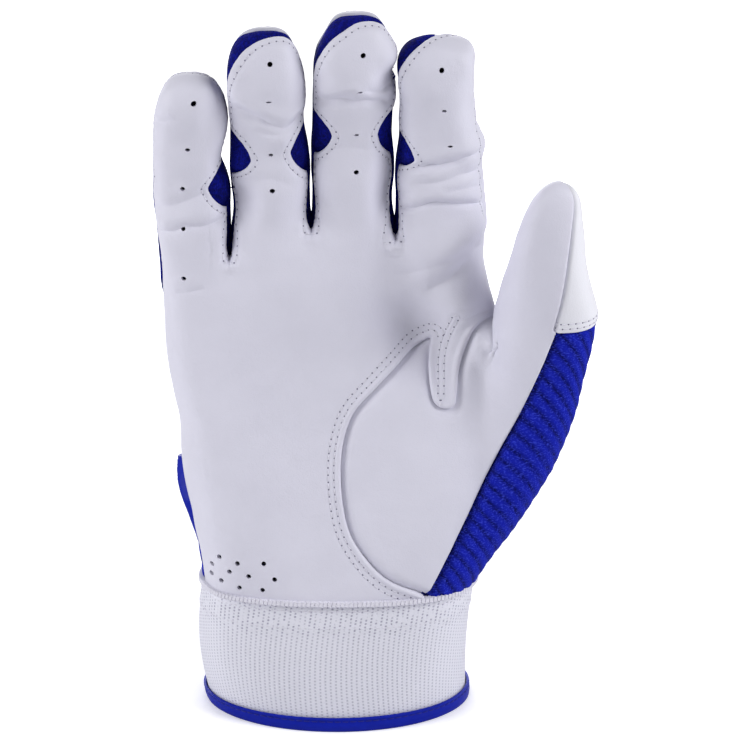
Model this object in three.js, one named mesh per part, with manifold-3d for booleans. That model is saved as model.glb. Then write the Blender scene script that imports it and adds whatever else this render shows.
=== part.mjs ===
// Batting glove for the right hand, standing on its hem with the palm towards -Y and the fingers up.
// Millimetres, +Z up. The hand is one smooth hollow form, cut along its seams and its flex lines into
// the leather, knit and mesh panels that are sewn together on the real glove.
import * as THREE from "three";
import { mergeVertices } from "three/addons/utils/BufferGeometryUtils.js";
import Module from "manifold-3d";

const wasm = await Module();
wasm.setup();

// Panels and seams
const PANEL_WALL = 1.2;
const SEAM_GAP = 0.4;
const VENT_RADIUS = 0.75;
const VENT_SIDES = 6;
const CUT_OVERRUN = 8;

// Cuff, hem binding and the tape inside the cuff seam
const CUFF_HEIGHT = 41.5;
const CUFF_WALL = 1.8;
const CUFF_SWELL = 0.8;
const HEM_SHIFT = -0.3;
const HEM_HALF_WIDTH = 40.6;
const HEM_HALF_DEPTH = 31;
const HEM_HEIGHT = 4.6;
const HEM_WALL = 0.9;
const HEM_FLOOR = 1.1;
const SLIT_WIDTH = 5;
const SLIT_ANGLE = 96;
const TAPE_HEIGHT = 5;
const TAPE_WALL = 0.8;

// Wrist strap and its hook-and-loop patches, placed by angle round the cuff from +X
const STRAP_ROOT_ANGLE = 40;
const STRAP_END_ANGLE = 158;
const STRAP_LOW = 9;
const STRAP_HEIGHT = 26;
const STRAP_WALL = 1.5;
const STRAP_ROOT_RUN = 16;
const HOOK_START_ANGLE = 112;
const HOOK_END_INSET = 3;
const HOOK_WALL = 0.8;
const PATCH_MARGIN = 3;
const LOOP_START_ANGLE = 104;
const LOOP_END_ANGLE = 166;
const LOOP_WALL = 1.0;
const LABEL_ANGLE = 250;
const LABEL_SPAN = 22;
const LABEL_LOW = 14;
const LABEL_HEIGHT = 15;
const LABEL_WALL = 0.5;

// Palm sections, from the cuff seam up: height above the section below, how far the pinky edge is drawn in
// and the thumb edge stands out against the knuckles, how far front and back stand, and how square it is.
// The thumb's web grows out of one of them
const PALM_SECTIONS = [
  { above: 0, leftIn: 10.4, rightOut: -1.4, front: 27.5, back: 26.5, square: 2.6 },
  { above: 9.5, leftIn: 9.4, rightOut: 3.0, front: 26.0, back: 24.5, square: 2.9 },
  { above: 31, leftIn: 3.7, rightOut: 6.8, front: 21.5, back: 20.5, square: 3.3 },
  { above: 32, leftIn: 0.8, rightOut: 4.3, front: 16.5, back: 16.5, square: 3.6, bearsThumb: true },
  { above: 16, leftIn: 0, rightOut: 1.4, front: 14.5, back: 14.5, square: 3.6 },
];
const PALM_CENTRE_Y = -1.0;
const PALM_EDGE_INSET = 4.5;
const HEEL_MOUND = 2.5;
const PALM_HOLLOW = 3.0;

// Fingers: width at the knuckle, at the middle joint and near the tip, thickness, height of the knuckle
// above the palm's top section and of the web beyond it, arc length to the tip, distance from the knuckle
// to the middle joint, sideways drift of the tip, and the vents' distances from the knuckle
const KNUCKLE_LEFT = -65.0;
const KNUCKLE_DEPTH = 25;
const OUTER_WEB = -1;
const PINKY_LENGTH = 65.9;
const RING_LENGTH = 75.6;
const MIDDLE_LENGTH = 76.4;
const INDEX_LENGTH = 72.6;
const FINGERS = [
  {
    name: "pinky", base: 21.1, width: 22.0, tip: 19.6, depth: 20, knuckle: 9, web: 3.6,
    length: PINKY_LENGTH, joint: 30.5, tipShift: -1.2, vents: [5, 18, 45, 60], ventSide: -1,
  },
  {
    name: "ring", base: 24.7, width: 22.8, tip: 22.2, depth: 22, knuckle: 13, web: 8,
    length: RING_LENGTH, joint: 36, tipShift: -0.4, vents: [26, 57, 69], ventSide: 1,
  },
  {
    name: "middle", base: 25.3, width: 24.2, tip: 24.2, depth: 23, knuckle: 17, web: 1.5,
    length: MIDDLE_LENGTH, joint: 37, tipShift: 0.2, vents: [28, 57, 68.5], ventSide: 1,
  },
  {
    name: "index", base: 27.1, width: 24.6, tip: 22.8, depth: 23, knuckle: 14, web: -2,
    length: INDEX_LENGTH, joint: 37, tipShift: -2.2, vents: [54, 67], ventSide: 1.5,
  },
];
const FINGER_GAP = 2.4;
const FINGER_LEAN_BASE = 5;
const FINGER_LEAN_TIP = 27;
const TIP_DEPTH_SHARE = 0.84;
const TIP_ROUND = 11;
// The round of a tip: how far back from the end, and what is left there of the width and the depth
const TIP_RINGS = [{ back: 0.8, width: 0.98, depth: 1 }, { back: 0.12, width: 0.66, depth: 0.62 }];
const TIP_POINT = 0.06;
// The rings half way to the middle joint and beyond it: where they lie and how far the widths have changed
const LOW_RING = { place: 0.5, blend: 0.6 };
const HIGH_RING = { place: 0.45, blend: 0.5, thinner: 0.5 };
const GUSSET_DEPTH = 8;
const GUSSET_TIP_DEPTH = 5;
const NOTCH_HALF_HEIGHT = 8.5;
const NOTCH_REACH = 5.6;

// The thumb and the seams near it are placed from the thumb-side edge of the knuckles and from the height of
// the palm section that the thumb's web grows out of. Thumb sections: the web edge and the outer edge seen
// from the palm, the depth of the middle and half the thickness
const THUMB_SECTIONS = [
  { web: [2.3, 7], outer: [27.3, -24.5], y: -10, half: 16.5 },
  { web: [3.4, 14.5], outer: [32.4, -1.5], y: -14, half: 14 },
  { web: [5, 25.5], outer: [33.2, 15], y: -19.5, half: 12.5 },
  { web: [8, 40.5], outer: [29.4, 38.5], y: -27, half: 10.5 },
  { web: [12.8, 54.5], outer: [26, 55.3], y: -32, half: 6.6 },
];
const THUMB_TIP = { x: 20.6, y: -34.8, z: 64 };
const THUMB_SPLIT = { x: 18.8, y: -17, z: 15 };
const THUMB_AXIS = [0.045, -0.36, 0.93];
const THUMB_FACE = { x: 21.9, y: -33.3, z: 31, turn: 55 };
const THUMB_JOINT = 22;
const INDEX_THUMB_PLANE = 3.2;

// Seams seen from the palm, as X and Z in the thumb's measure, and the side seam as Y and height over the cuff
const THUMB_SEAM = [[3.8, 16.5], [-3.2, 15.5], [-10.2, 13], [-14.6, 7.6], [-22.7, 3], [-33.2, -7.9],
  [-40.7, -17.3], [-43.7, -31], [-42.3, -47.4], [-37.8, -57.1], [-30.1, -65.2], [-19.7, -70.6]];
const MESH_SEAM = [[-16.9, -71], [-7.2, -51.3], [1.8, -32.1], [10.6, -13.2], [16.4, 0.9], [19.9, 11]];
const SIDE_SEAM = [[-9, 0], [-7, 25], [6, 41], [7, 90]];
const QUIRK_OUTLINE = [[-11.7, 12.5], [-15.6, 6], [-17, -2], [-16.2, -8.6], [-12.8, -11.4], [-9.6, -10.6],
  [-7.2, -2], [-5.7, 6]];
const QUIRK_WALL = 0.8;

// Vents in the heel of the palm, as X from the pinky edge of the cuff seam and height above it
const PALM_VENTS = [[6.8, 13.9], [12.3, 11.9], [20.6, 11.7], [9.8, 9.1], [16, 7.5], [23.9, 6.8],
  [7.3, 6.3], [12.8, 4.2], [20.2, 3.3]];

// Colours
const WHITE_LEATHER = { color: 0xe4e2ea, roughness: 0.55, metalness: 0 };
const BLUE_KNIT = { color: 0x1c1ea0, roughness: 0.85, metalness: 0 };
const WHITE_KNIT = { color: 0xe6e6f2, roughness: 0.9, metalness: 0 };
const BLUE_TAPE = { color: 0x1d22b4, roughness: 0.6, metalness: 0 };
const WHITE_TAPE = { color: 0xdedee6, roughness: 0.8, metalness: 0 };

// The control cage stands a little outside the smooth skin, with its corners drawn in. The saddle between two
// fingers lies below the web, the edges of the knuckles are drawn in and bulge, and a finger's first ring is
// above its web
const CAGE_SCALE = 1.08;
const CORNER = 0.78;
const SADDLE_RISE = 2.7;
const EDGE_INSET = 2.5;
const EDGE_BULGE = 1;
const WEB_RISE = 6;
// Points round a ring of the cage, as shares of its half width and half depth
const FINGER_PLACES = [[-1, 0], [-CORNER, CORNER], [0, 1], [CORNER, CORNER],
  [1, 0], [CORNER, -CORNER], [0, -1], [-CORNER, -CORNER]];
const THUMB_PLACES = [[CORNER, CORNER], [1, 0], [CORNER, -CORNER], [0, -1],
  [-CORNER, -CORNER], [-1, 0], [-CORNER, CORNER], [0, 1]];
const radians = THREE.MathUtils.degToRad;
const vector = (x, y, z) => new THREE.Vector3(x, y, z);
const lerp = THREE.MathUtils.lerp;

// Solids and their cuts

function solidOf(geometry) {
  const bare = geometry.clone();
  bare.deleteAttribute("normal");
  bare.deleteAttribute("uv");
  const merged = mergeVertices(bare, 1e-4);
  return new wasm.Manifold(new wasm.Mesh({
    numProp: 3,
    vertProperties: merged.attributes.position.array,
    triVerts: new Uint32Array(merged.index.array),
  }));
}

function solidOfFaces(points, triangles) {
  const geometry = new THREE.BufferGeometry().setFromPoints(points);
  geometry.setIndex(triangles.flat());
  return solidOf(geometry);
}

function geometryOf(solid) {
  const mesh = solid.getMesh();
  const geometry = new THREE.BufferGeometry();
  geometry.setAttribute("position", new THREE.BufferAttribute(mesh.vertProperties, 3));
  geometry.setIndex(new THREE.BufferAttribute(mesh.triVerts, 1));
  return geometry;
}

function outlineShape(outline) {
  return new THREE.Shape(outline.map(([a, b]) => new THREE.Vector2(a, b)));
}

// An outline in X and Z, carried along Y
function prismAlongY(outline, yFrom, yTo) {
  const settings = { depth: yTo - yFrom, bevelEnabled: false };
  const geometry = new THREE.ExtrudeGeometry(outlineShape(outline), settings);
  geometry.rotateX(Math.PI / 2);
  geometry.translate(0, yTo, 0);
  return solidOf(geometry);
}

// An outline in Y and Z, carried along X
function prismAlongX(outline, xFrom, xTo) {
  const settings = { depth: xTo - xFrom, bevelEnabled: false };
  const geometry = new THREE.ExtrudeGeometry(outlineShape(outline), settings);
  const axes = [vector(0, 1, 0), vector(0, 0, 1), vector(1, 0, 0)];
  geometry.applyMatrix4(new THREE.Matrix4().makeBasis(...axes));
  geometry.translate(xFrom, 0, 0);
  return solidOf(geometry);
}

// Everything between two places along X
function slabAcross(xFrom, xTo) {
  return prismAlongX([[-FAR, -FAR], [FAR, -FAR], [FAR, 2 * FAR], [-FAR, 2 * FAR]], xFrom, xTo);
}

function smoothLine(points, count) {
  const curve = new THREE.SplineCurve(points.map(([a, b]) => new THREE.Vector2(a, b)));
  return curve.getPoints(count).map((p) => [p.x, p.y]);
}

// A line moved sideways to its left by a distance
function movedLine(points, distance) {
  return points.map((p, i) => {
    const before = points[Math.max(i - 1, 0)];
    const after = points[Math.min(i + 1, points.length - 1)];
    const run = new THREE.Vector2(after[0] - before[0], after[1] - before[1]).normalize();
    return [p[0] - run.y * distance, p[1] + run.x * distance];
  });
}

function joined(solids) {
  return solids.reduce((a, b) => a.add(b));
}

function largestBody(solid) {
  return solid.decompose().sort((a, b) => b.volume() - a.volume())[0];
}

// The control cage of the hand: quads over rings of points

const cage = { points: [], quads: [] };

function addPoint(point) {
  cage.points.push(point);
  return cage.points.length - 1;
}

function bridge(lower, upper, skip = () => false) {
  lower.forEach((a, i) => {
    const next = (i + 1) % lower.length;
    if (!skip(i)) cage.quads.push([a, lower[next], upper[next], upper[i]]);
  });
}

function closeTip(ring, apex, firstCorner) {
  const centre = addPoint(apex);
  for (let i = firstCorner; i < ring.length; i += 2) {
    cage.quads.push([centre, ring[(i + 7) % 8], ring[i], ring[(i + 1) % 8]]);
  }
}

// Where the palm's sections, the knuckles and the webs come to lie
PALM_SECTIONS.reduce((z, section) => (section.z = z + section.above), CUFF_HEIGHT);
const palmTop = PALM_SECTIONS[PALM_SECTIONS.length - 1].z;

// A reach past the whole glove, for the blocks that cut it
const FAR = 2 * palmTop;

const thumbLevel = PALM_SECTIONS.findIndex((section) => section.bearsThumb);
const thumbRoot = PALM_SECTIONS[thumbLevel];
FINGERS.reduce((edge, f) => {
  f.left = edge;
  f.right = edge + f.base;
  f.centreX = edge + f.base / 2;
  f.knuckleZ = palmTop + f.knuckle;
  return f.right;
}, KNUCKLE_LEFT);
const KNUCKLE_RIGHT = FINGERS[FINGERS.length - 1].right;
const webHeights = [FINGERS[0].knuckleZ + OUTER_WEB, ...FINGERS.map((f) => f.knuckleZ + f.web)];
const thumbPlace = ([x, z]) => [KNUCKLE_RIGHT + x, thumbRoot.z + z];
PALM_SECTIONS.forEach((section) => {
  section.left = KNUCKLE_LEFT + section.leftIn;
  section.right = KNUCKLE_RIGHT + section.rightOut;
});

// Palm columns: every finger boundary and every finger middle, as a share of the palm's width
const columnPlaces = [...FINGERS.flatMap((f) => [f.left, f.centreX]), KNUCKLE_RIGHT];
const columnShares = columnPlaces.map((x) => (x - KNUCKLE_LEFT) / (KNUCKLE_RIGHT - KNUCKLE_LEFT));
const LAST = columnShares.length - 1;

function columnX(section, j) {
  if (j === 0) return section.left + PALM_EDGE_INSET;
  if (j === LAST) return section.right - PALM_EDGE_INSET;
  return lerp(section.left, section.right, columnShares[j]);
}

// The share of a section's depth that it keeps at a column, from a rounded rectangle's formula
function columnDepth({ left, right, square }, x) {
  const off = Math.abs((2 * x - left - right) / (right - left));
  return (1 - off ** square) ** (1 / square);
}

// The heel of the hand swells on both sides of a hollow palm
function palmRelief(level, j) {
  const heel = level === 1 || level === 2 ? HEEL_MOUND : 0;
  const hollow = level === 2 || level === 3 ? PALM_HOLLOW : 0;
  if (j >= 3 && j <= 5) return -hollow;
  return j === 1 || j === 2 || j >= 6 ? heel : 0;
}

function palmRing(section, level) {
  const { z, left, right, front, back } = section;
  const bulge = PALM_EDGE_INSET / 3;
  const columns = columnPlaces.map((_, j) => columnX(section, j));
  const frontPoints = columns.map((x, j) => {
    const depth = front * columnDepth(section, x) + palmRelief(level, j);
    return addPoint(vector(x, PALM_CENTRE_Y - depth, z));
  });
  const backPoints = columns.map((x) => addPoint(vector(x, PALM_CENTRE_Y + back * columnDepth(section, x), z)));
  const leftEdge = addPoint(vector(left - bulge, PALM_CENTRE_Y, z));
  const rightEdge = addPoint(vector(right + bulge, PALM_CENTRE_Y, z));
  return [leftEdge, ...frontPoints, rightEdge, ...backPoints.reverse()];
}

const palmRings = PALM_SECTIONS.map(palmRing);

// The knuckle ring, with a saddle between each pair of fingers
const knuckleHalf = (KNUCKLE_DEPTH / 2) * CAGE_SCALE;
const knuckle = { front: [], back: [], middle: [] };
columnPlaces.forEach((x, j) => {
  const place = Math.floor(j / 2);
  const boundary = j % 2 === 0;
  const web = boundary ? webHeights[place] : (webHeights[place] + webHeights[place + 1]) / 2;
  const z = web - SADDLE_RISE;
  const inwards = j === 0 ? 1 : j === LAST ? -1 : 0;
  const deep = knuckleHalf * (inwards ? CORNER : 1);
  knuckle.front.push(addPoint(vector(x + inwards * EDGE_INSET, PALM_CENTRE_Y - deep, z)));
  knuckle.back.push(addPoint(vector(x + inwards * EDGE_INSET, PALM_CENTRE_Y + deep, z)));
  if (boundary) knuckle.middle.push(addPoint(vector(x - inwards * EDGE_BULGE, PALM_CENTRE_Y, z)));
});
const [knuckleStart, knuckleEnd] = [knuckle.middle[0], knuckle.middle[FINGERS.length]];
const knuckleRing = [knuckleStart, ...knuckle.front, knuckleEnd, ...[...knuckle.back].reverse()];
const thumbColumns = [LAST + 1, LAST + 2];
const thumbRows = [thumbLevel - 1, thumbLevel];
[...palmRings, knuckleRing].reduce((lower, upper, level) => {
  bridge(lower, upper, (i) => thumbRows.includes(level) && thumbColumns.includes(i));
  return upper;
});

// A finger's centre line is an arc that leans towards the palm
function fingerAt(f, s) {
  const base = radians(FINGER_LEAN_BASE);
  const lean = lerp(base, radians(FINGER_LEAN_TIP), s / f.length);
  const radius = f.length / radians(FINGER_LEAN_TIP - FINGER_LEAN_BASE);
  return {
    centre: vector(
      f.centreX + (f.tipShift * s) / f.length,
      PALM_CENTRE_Y - radius * (Math.cos(base) - Math.cos(lean)),
      f.knuckleZ + radius * (Math.sin(lean) - Math.sin(base)),
    ),
    front: vector(0, -Math.cos(lean), -Math.sin(lean)),
  };
}

function fingerRing(f, s, halfWidth, halfDepth) {
  const { centre, front } = fingerAt(f, s);
  const w = halfWidth * CAGE_SCALE;
  const d = halfDepth * CAGE_SCALE;
  return FINGER_PLACES.map(([a, b]) => centre.clone().addScaledVector(front, b * d).add(vector(a * w, 0, 0)));
}

FINGERS.forEach((f, i) => {
  const j = 2 * i;
  const low = [knuckle.middle[i], knuckle.front[j], knuckle.front[j + 1], knuckle.front[j + 2],
    knuckle.middle[i + 1], knuckle.back[j + 2], knuckle.back[j + 1], knuckle.back[j]];
  const baseHalf = (f.base - FINGER_GAP) / 2;
  const half = f.width / 2;
  const tipHalf = f.tip / 2;
  const tipDepth = (f.depth / 2) * TIP_DEPTH_SHARE;
  const highDepth = f.depth / 2 - HIGH_RING.thinner;
  const rise = (webHeights[i] + webHeights[i + 1]) / 2 + WEB_RISE - f.knuckleZ;
  const first = fingerRing(f, rise, baseHalf, KNUCKLE_DEPTH / 2);
  const tilt = (webHeights[i + 1] - webHeights[i]) / f.base;
  first.forEach((p) => (p.z += (p.x - f.centreX) * tilt));
  const lowDepth = lerp(KNUCKLE_DEPTH, f.depth, LOW_RING.blend) / 2;
  const rings = [
    first,
    fingerRing(f, lerp(rise, f.joint, LOW_RING.place), lerp(baseHalf, half, LOW_RING.blend), lowDepth),
    fingerRing(f, f.joint, half, f.depth / 2),
    fingerRing(f, lerp(f.joint, f.length, HIGH_RING.place), lerp(half, tipHalf, HIGH_RING.blend), highDepth),
    ...TIP_RINGS.map(({ back, width, depth }) => {
      return fingerRing(f, f.length - TIP_ROUND * back, tipHalf * width, tipDepth * depth);
    }),
  ];
  const top = rings.reduce((lower, ring) => {
    const upper = ring.map(addPoint);
    bridge(lower, upper);
    return upper;
  }, low);
  closeTip(top, fingerAt(f, f.length + TIP_ROUND * TIP_POINT).centre, 1);
});

// The thumb grows out of the two rows of palm quads left open on its side
function thumbRing({ web, outer, y, half }) {
  const [near, far] = [thumbPlace(web), thumbPlace(outer)];
  const across = vector(far[0] - near[0], 0, far[1] - near[1]).multiplyScalar(CAGE_SCALE / 2);
  const centre = vector((near[0] + far[0]) / 2, y, (near[1] + far[1]) / 2);
  const front = vector(0, -half * CAGE_SCALE, 0);
  return THUMB_PLACES.map(([a, b]) => centre.clone().addScaledVector(across, a).addScaledVector(front, b));
}

const [sideFront, sideMiddle, sideBack] = [LAST + 1, LAST + 2, LAST + 3];
const [lowRow, midRow, topRow] = palmRings.slice(thumbLevel - 2, thumbLevel + 1);
const thumbBase = [lowRow[sideFront], lowRow[sideMiddle], lowRow[sideBack], midRow[sideBack],
  topRow[sideBack], topRow[sideMiddle], topRow[sideFront], midRow[sideFront]];
const thumbTop = THUMB_SECTIONS.reduce((lower, section) => {
  const upper = thumbRing(section).map(addPoint);
  bridge(lower, upper);
  return upper;
}, thumbBase);
closeTip(thumbTop, vector(KNUCKLE_RIGHT + THUMB_TIP.x, THUMB_TIP.y, thumbRoot.z + THUMB_TIP.z), 0);

// Catmull-Clark: one round of subdivision, then every point moved to where endless rounds would take it

function neighbours(points, quads) {
  const around = points.map(() => ({ faces: [], edges: new Map() }));
  quads.forEach((quad, face) => {
    quad.forEach((a, i) => {
      const b = quad[(i + 1) % 4];
      around[a].faces.push(face);
      around[a].edges.set(b, [...(around[a].edges.get(b) ?? []), face]);
      around[b].edges.set(a, [...(around[b].edges.get(a) ?? []), face]);
    });
  });
  return around;
}

function average(points) {
  return points.reduce((sum, p) => sum.add(p), vector(0, 0, 0)).multiplyScalar(1 / points.length);
}

function rimNeighbours(edges) {
  return [...edges].filter(([, faces]) => faces.length === 1).map(([other]) => other);
}

function subdivided({ points, quads }) {
  const around = neighbours(points, quads);
  const made = [];
  const keep = (p) => made.push(p) - 1;
  const facePoints = quads.map((quad) => average(quad.map((i) => points[i])));
  const corners = points.map((p, i) => {
    const { faces, edges } = around[i];
    const rim = rimNeighbours(edges);
    if (rim.length) return keep(average([points[rim[0]], points[rim[1]], p, p, p, p, p, p]));
    const n = faces.length;
    const faceMean = average(faces.map((f) => facePoints[f]));
    const edgeMean = average([...edges.keys()].map((other) => average([p, points[other]])));
    return keep(faceMean.add(edgeMean.multiplyScalar(2)).addScaledVector(p, n - 3).multiplyScalar(1 / n));
  });
  const middles = new Map();
  const middle = (a, b) => {
    const name = a < b ? `${a},${b}` : `${b},${a}`;
    if (!middles.has(name)) {
      const ends = [points[a], points[b]];
      const faces = around[a].edges.get(b).map((f) => facePoints[f]);
      middles.set(name, keep(average(faces.length === 2 ? [...ends, ...faces] : ends)));
    }
    return middles.get(name);
  };
  const fine = [];
  quads.forEach((quad, f) => {
    const centre = keep(facePoints[f]);
    quad.forEach((a, i) => {
      fine.push([corners[a], middle(a, quad[(i + 1) % 4]), centre, middle(quad[(i + 3) % 4], a)]);
    });
  });
  return { points: made, quads: fine };
}

function atLimit({ points, quads }) {
  const around = neighbours(points, quads);
  const moved = points.map((p, i) => {
    const { faces, edges } = around[i];
    const rim = rimNeighbours(edges);
    if (rim.length) return average([points[rim[0]], points[rim[1]], p, p, p, p]);
    const n = faces.length;
    const sum = p.clone().multiplyScalar(n * n);
    [...edges.keys()].forEach((other) => sum.addScaledVector(points[other], 4));
    faces.forEach((f) => sum.add(points[quads[f][(quads[f].indexOf(i) + 2) % 4]]));
    return sum.multiplyScalar(1 / (n * (n + 5)));
  });
  return { points: moved, quads };
}

const skin = atLimit(subdivided(cage));
const skinNormals = skin.points.map(() => vector(0, 0, 0));
skin.quads.forEach((quad) => {
  const [a, b, c, d] = quad.map((i) => skin.points[i]);
  const normal = c.clone().sub(a).cross(d.clone().sub(b));
  quad.forEach((i) => skinNormals[i].add(normal));
});
skinNormals.forEach((normal) => normal.normalize());

// The open edge of the skin at the cuff, in order round the wrist
const skinAround = neighbours(skin.points, skin.quads);
const wristLoop = [0];
for (let at = 0; ; ) {
  const next = rimNeighbours(skinAround[at].edges).find((i) => !wristLoop.slice(-2).includes(i));
  if (next === 0 || next === undefined || wristLoop.includes(next)) break;
  wristLoop.push(next);
  at = next;
}
const wristRing = wristLoop.map((i) => skin.points[i].clone());

// The hand as a solid, its skin moved outwards by a distance and closed at the wrist, which may reach lower
function handSolid(distance, below = 0) {
  const points = skin.points.map((p, i) => p.clone().addScaledVector(skinNormals[i], distance));
  wristLoop.forEach((i) => (points[i].z = CUFF_HEIGHT - below));
  const faces = skin.quads.flatMap(([a, b, c, d]) => {
    const shortWay = points[a].distanceTo(points[c]) < points[b].distanceTo(points[d]);
    return shortWay ? [[a, b, c], [a, c, d]] : [[a, b, d], [b, c, d]];
  });
  const centre = points.push(average(wristLoop.map((i) => points[i]))) - 1;
  wristLoop.forEach((i, n) => {
    const next = wristLoop[(n + 1) % wristLoop.length];
    const forward = skin.quads.some((q) => q.some((a, k) => a === i && q[(k + 1) % 4] === next));
    faces.push(forward ? [next, i, centre] : [i, next, centre]);
  });
  return solidOfFaces(points, faces);
}

const shell = handSolid(0).subtract(handSolid(-PANEL_WALL, 1));

// Finger panels

// The space along a finger between two distances from its knuckle
function fingerSpan(f, from, to, left, right) {
  const ends = [from, to].map((s) => fingerAt(f, s));
  const corner = ({ centre, front }, reach) => {
    const p = centre.clone().addScaledVector(front, reach);
    return [p.y, p.z];
  };
  const reach = FAR / 3;
  return prismAlongX(
    [corner(ends[0], reach), corner(ends[0], -reach), corner(ends[1], -reach), corner(ends[1], reach)],
    left, right,
  );
}

// Half the gusset's depth at a distance along a finger
function gussetHalf(f, s) {
  return lerp(GUSSET_DEPTH, GUSSET_TIP_DEPTH, s / f.length) / 2;
}

// The space beside a finger's centre line between two offsets, which may change along it and are positive
// towards the palm
function fingerLayer(f, from, to) {
  const steps = 6;
  const side = (offsetAt) => Array.from({ length: steps + 1 }, (_, i) => {
    const s = lerp(-TIP_ROUND, f.length + TIP_ROUND, i / steps);
    const { centre, front } = fingerAt(f, s);
    const p = centre.addScaledVector(front, offsetAt(s));
    return [p.y, p.z];
  });
  return prismAlongX([...side(to), ...side(from).reverse()], -FAR, FAR);
}

// The flex notch on one side of a finger front, round at its deepest point
function notchPrism(f, side, grow) {
  const { centre } = fingerAt(f, f.joint);
  const edge = centre.x + (side * f.width) / 2;
  const deep = edge - side * (NOTCH_REACH + grow);
  const half = NOTCH_HALF_HEIGHT + grow;
  const inner = smoothLine([[edge, centre.z - half], [deep, centre.z], [edge, centre.z + half]], 6);
  const outline = [...inner, [edge + side * f.base, centre.z + half], [edge + side * f.base, centre.z - half]];
  return prismAlongY(side > 0 ? outline.reverse() : outline, centre.y - FAR / 2, centre.y);
}

function ventPins(places, yTo) {
  return joined(places.map(([x, z]) => {
    const pin = new THREE.CylinderGeometry(VENT_RADIUS, VENT_RADIUS, FAR / 2, VENT_SIDES);
    pin.translate(x, yTo - FAR / 4, z);
    return solidOf(pin);
  }));
}

const half = SEAM_GAP / 2;
const indexLimit = KNUCKLE_RIGHT + INDEX_THUMB_PLANE;
const group = new THREE.Group();

function addNode(name, solid, look) {
  const mesh = new THREE.Mesh(geometryOf(solid), new THREE.MeshStandardMaterial(look));
  mesh.name = name;
  group.add(mesh);
}

// Side gussets: blue knit, apart from the leather side of the index finger that faces the thumb
function sideLook(f, side) {
  return f.name === "index" && side === "right" ? WHITE_LEATHER : BLUE_KNIT;
}

FINGERS.forEach((f, i) => {
  const outermost = i === FINGERS.length - 1;
  const left = i === 0 ? -FAR : f.left + half;
  const right = outermost ? indexLimit : f.right - half;
  const beyond = FAR / 3;
  const front = fingerLayer(f, (s) => gussetHalf(f, s) + half, () => beyond);
  const band = fingerLayer(f, (s) => half - gussetHalf(f, s), (s) => gussetHalf(f, s) - half);
  const back = fingerLayer(f, () => -beyond, (s) => -gussetHalf(f, s) - half);
  const palmSide = fingerLayer(f, () => 0, () => beyond);
  const notchSides = [-1, 1].slice(i === 0 ? 1 : 0, outermost ? 1 : 2);
  const notches = joined(notchSides.map((side) => notchPrism(f, side, 0))).intersect(palmSide);
  const widerNotches = joined(notchSides.map((side) => notchPrism(f, side, SEAM_GAP)));
  const vents = ventPins(f.vents.map((s) => {
    const { centre, front: outwards } = fingerAt(f, s);
    return [centre.x + f.ventSide, centre.z + (outwards.z * f.depth) / 2];
  }), PALM_CENTRE_Y);
  const spans = { base: [half, f.joint - half], tip: [f.joint + half, f.length + TIP_ROUND] };
  Object.entries(spans).forEach(([part, [from, to]]) => {
    const piece = shell.intersect(fingerSpan(f, from, to, left, right));
    const gussets = piece.intersect(band.add(notches));
    const leather = piece.intersect(front).subtract(widerNotches).subtract(vents);
    addNode(`${f.name}_front_${part}`, largestBody(leather), WHITE_LEATHER);
    addNode(`${f.name}_back_${part}`, largestBody(piece.intersect(back)), WHITE_LEATHER);
    if (part === "tip") {
      addNode(`${f.name}_gusset_tip`, largestBody(gussets), BLUE_KNIT);
      return;
    }
    const sides = { left: [-FAR, f.centreX], right: [f.centreX, FAR] };
    Object.entries(sides).forEach(([side, [xFrom, xTo]]) => {
      const sidePiece = largestBody(gussets.intersect(slabAcross(xFrom, xTo)));
      addNode(`${f.name}_gusset_${side}`, sidePiece, sideLook(f, side));
    });
  });
});

// Thumb panels: the leather face towards the palm and the cover over the back of the tip

const thumbAxis = vector(...THUMB_AXIS).normalize();
const faceTurn = radians(THUMB_FACE.turn);
const thumbFace = vector(-Math.sin(faceTurn), -Math.cos(faceTurn), 0);

// A large block that starts at a place of the thumb and fills the side that a direction points to
function blockFrom(place, direction, reach) {
  const block = new THREE.BoxGeometry(2 * FAR, 2 * FAR, reach);
  block.translate(0, 0, reach / 2);
  block.applyQuaternion(new THREE.Quaternion().setFromUnitVectors(vector(0, 0, 1), direction));
  block.translate(place.x, place.y, place.z);
  return solidOf(block);
}

const thumbStart = vector(KNUCKLE_RIGHT + THUMB_SPLIT.x, THUMB_SPLIT.y, thumbRoot.z + THUMB_SPLIT.z);
const facePlace = vector(KNUCKLE_RIGHT + THUMB_FACE.x, THUMB_FACE.y, thumbRoot.z + THUMB_FACE.z);
const along = (distance) => thumbStart.clone().addScaledVector(thumbAxis, distance);
const besideFace = (distance) => facePlace.clone().addScaledVector(thumbFace, distance);
const frontSide = blockFrom(besideFace(half), thumbFace, FAR);
const backSide = blockFrom(besideFace(-half), thumbFace.clone().negate(), FAR);
const besideIndex = slabAcross(indexLimit + half, FAR);
const thumbSpans = { base: [half, THUMB_JOINT - half], tip: [THUMB_JOINT + half, FAR] };
Object.entries(thumbSpans).forEach(([part, [from, to]]) => {
  const piece = shell.intersect(besideIndex).intersect(blockFrom(along(from), thumbAxis, to - from));
  addNode(`thumb_front_${part}`, largestBody(piece.intersect(frontSide)), WHITE_LEATHER);
  addNode(`thumb_back_${part}`, largestBody(piece.intersect(backSide)), WHITE_LEATHER);
});

// Palm, thumb base and back of the hand

const fingerSpaces = joined(FINGERS.map((f, i) => {
  const left = i === 0 ? -FAR : f.left - half;
  const right = i === FINGERS.length - 1 ? indexLimit : f.right + half;
  return fingerSpan(f, -half, f.length + TIP_ROUND, left, right);
}));
const thumbSpace = besideIndex.intersect(blockFrom(along(-half), thumbAxis, FAR));
const hand = shell.subtract(fingerSpaces).subtract(thumbSpace);

const thumbSeam = smoothLine(THUMB_SEAM.map(thumbPlace), 24);
const meshSeam = smoothLine(MESH_SEAM.map(thumbPlace), 8);

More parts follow.
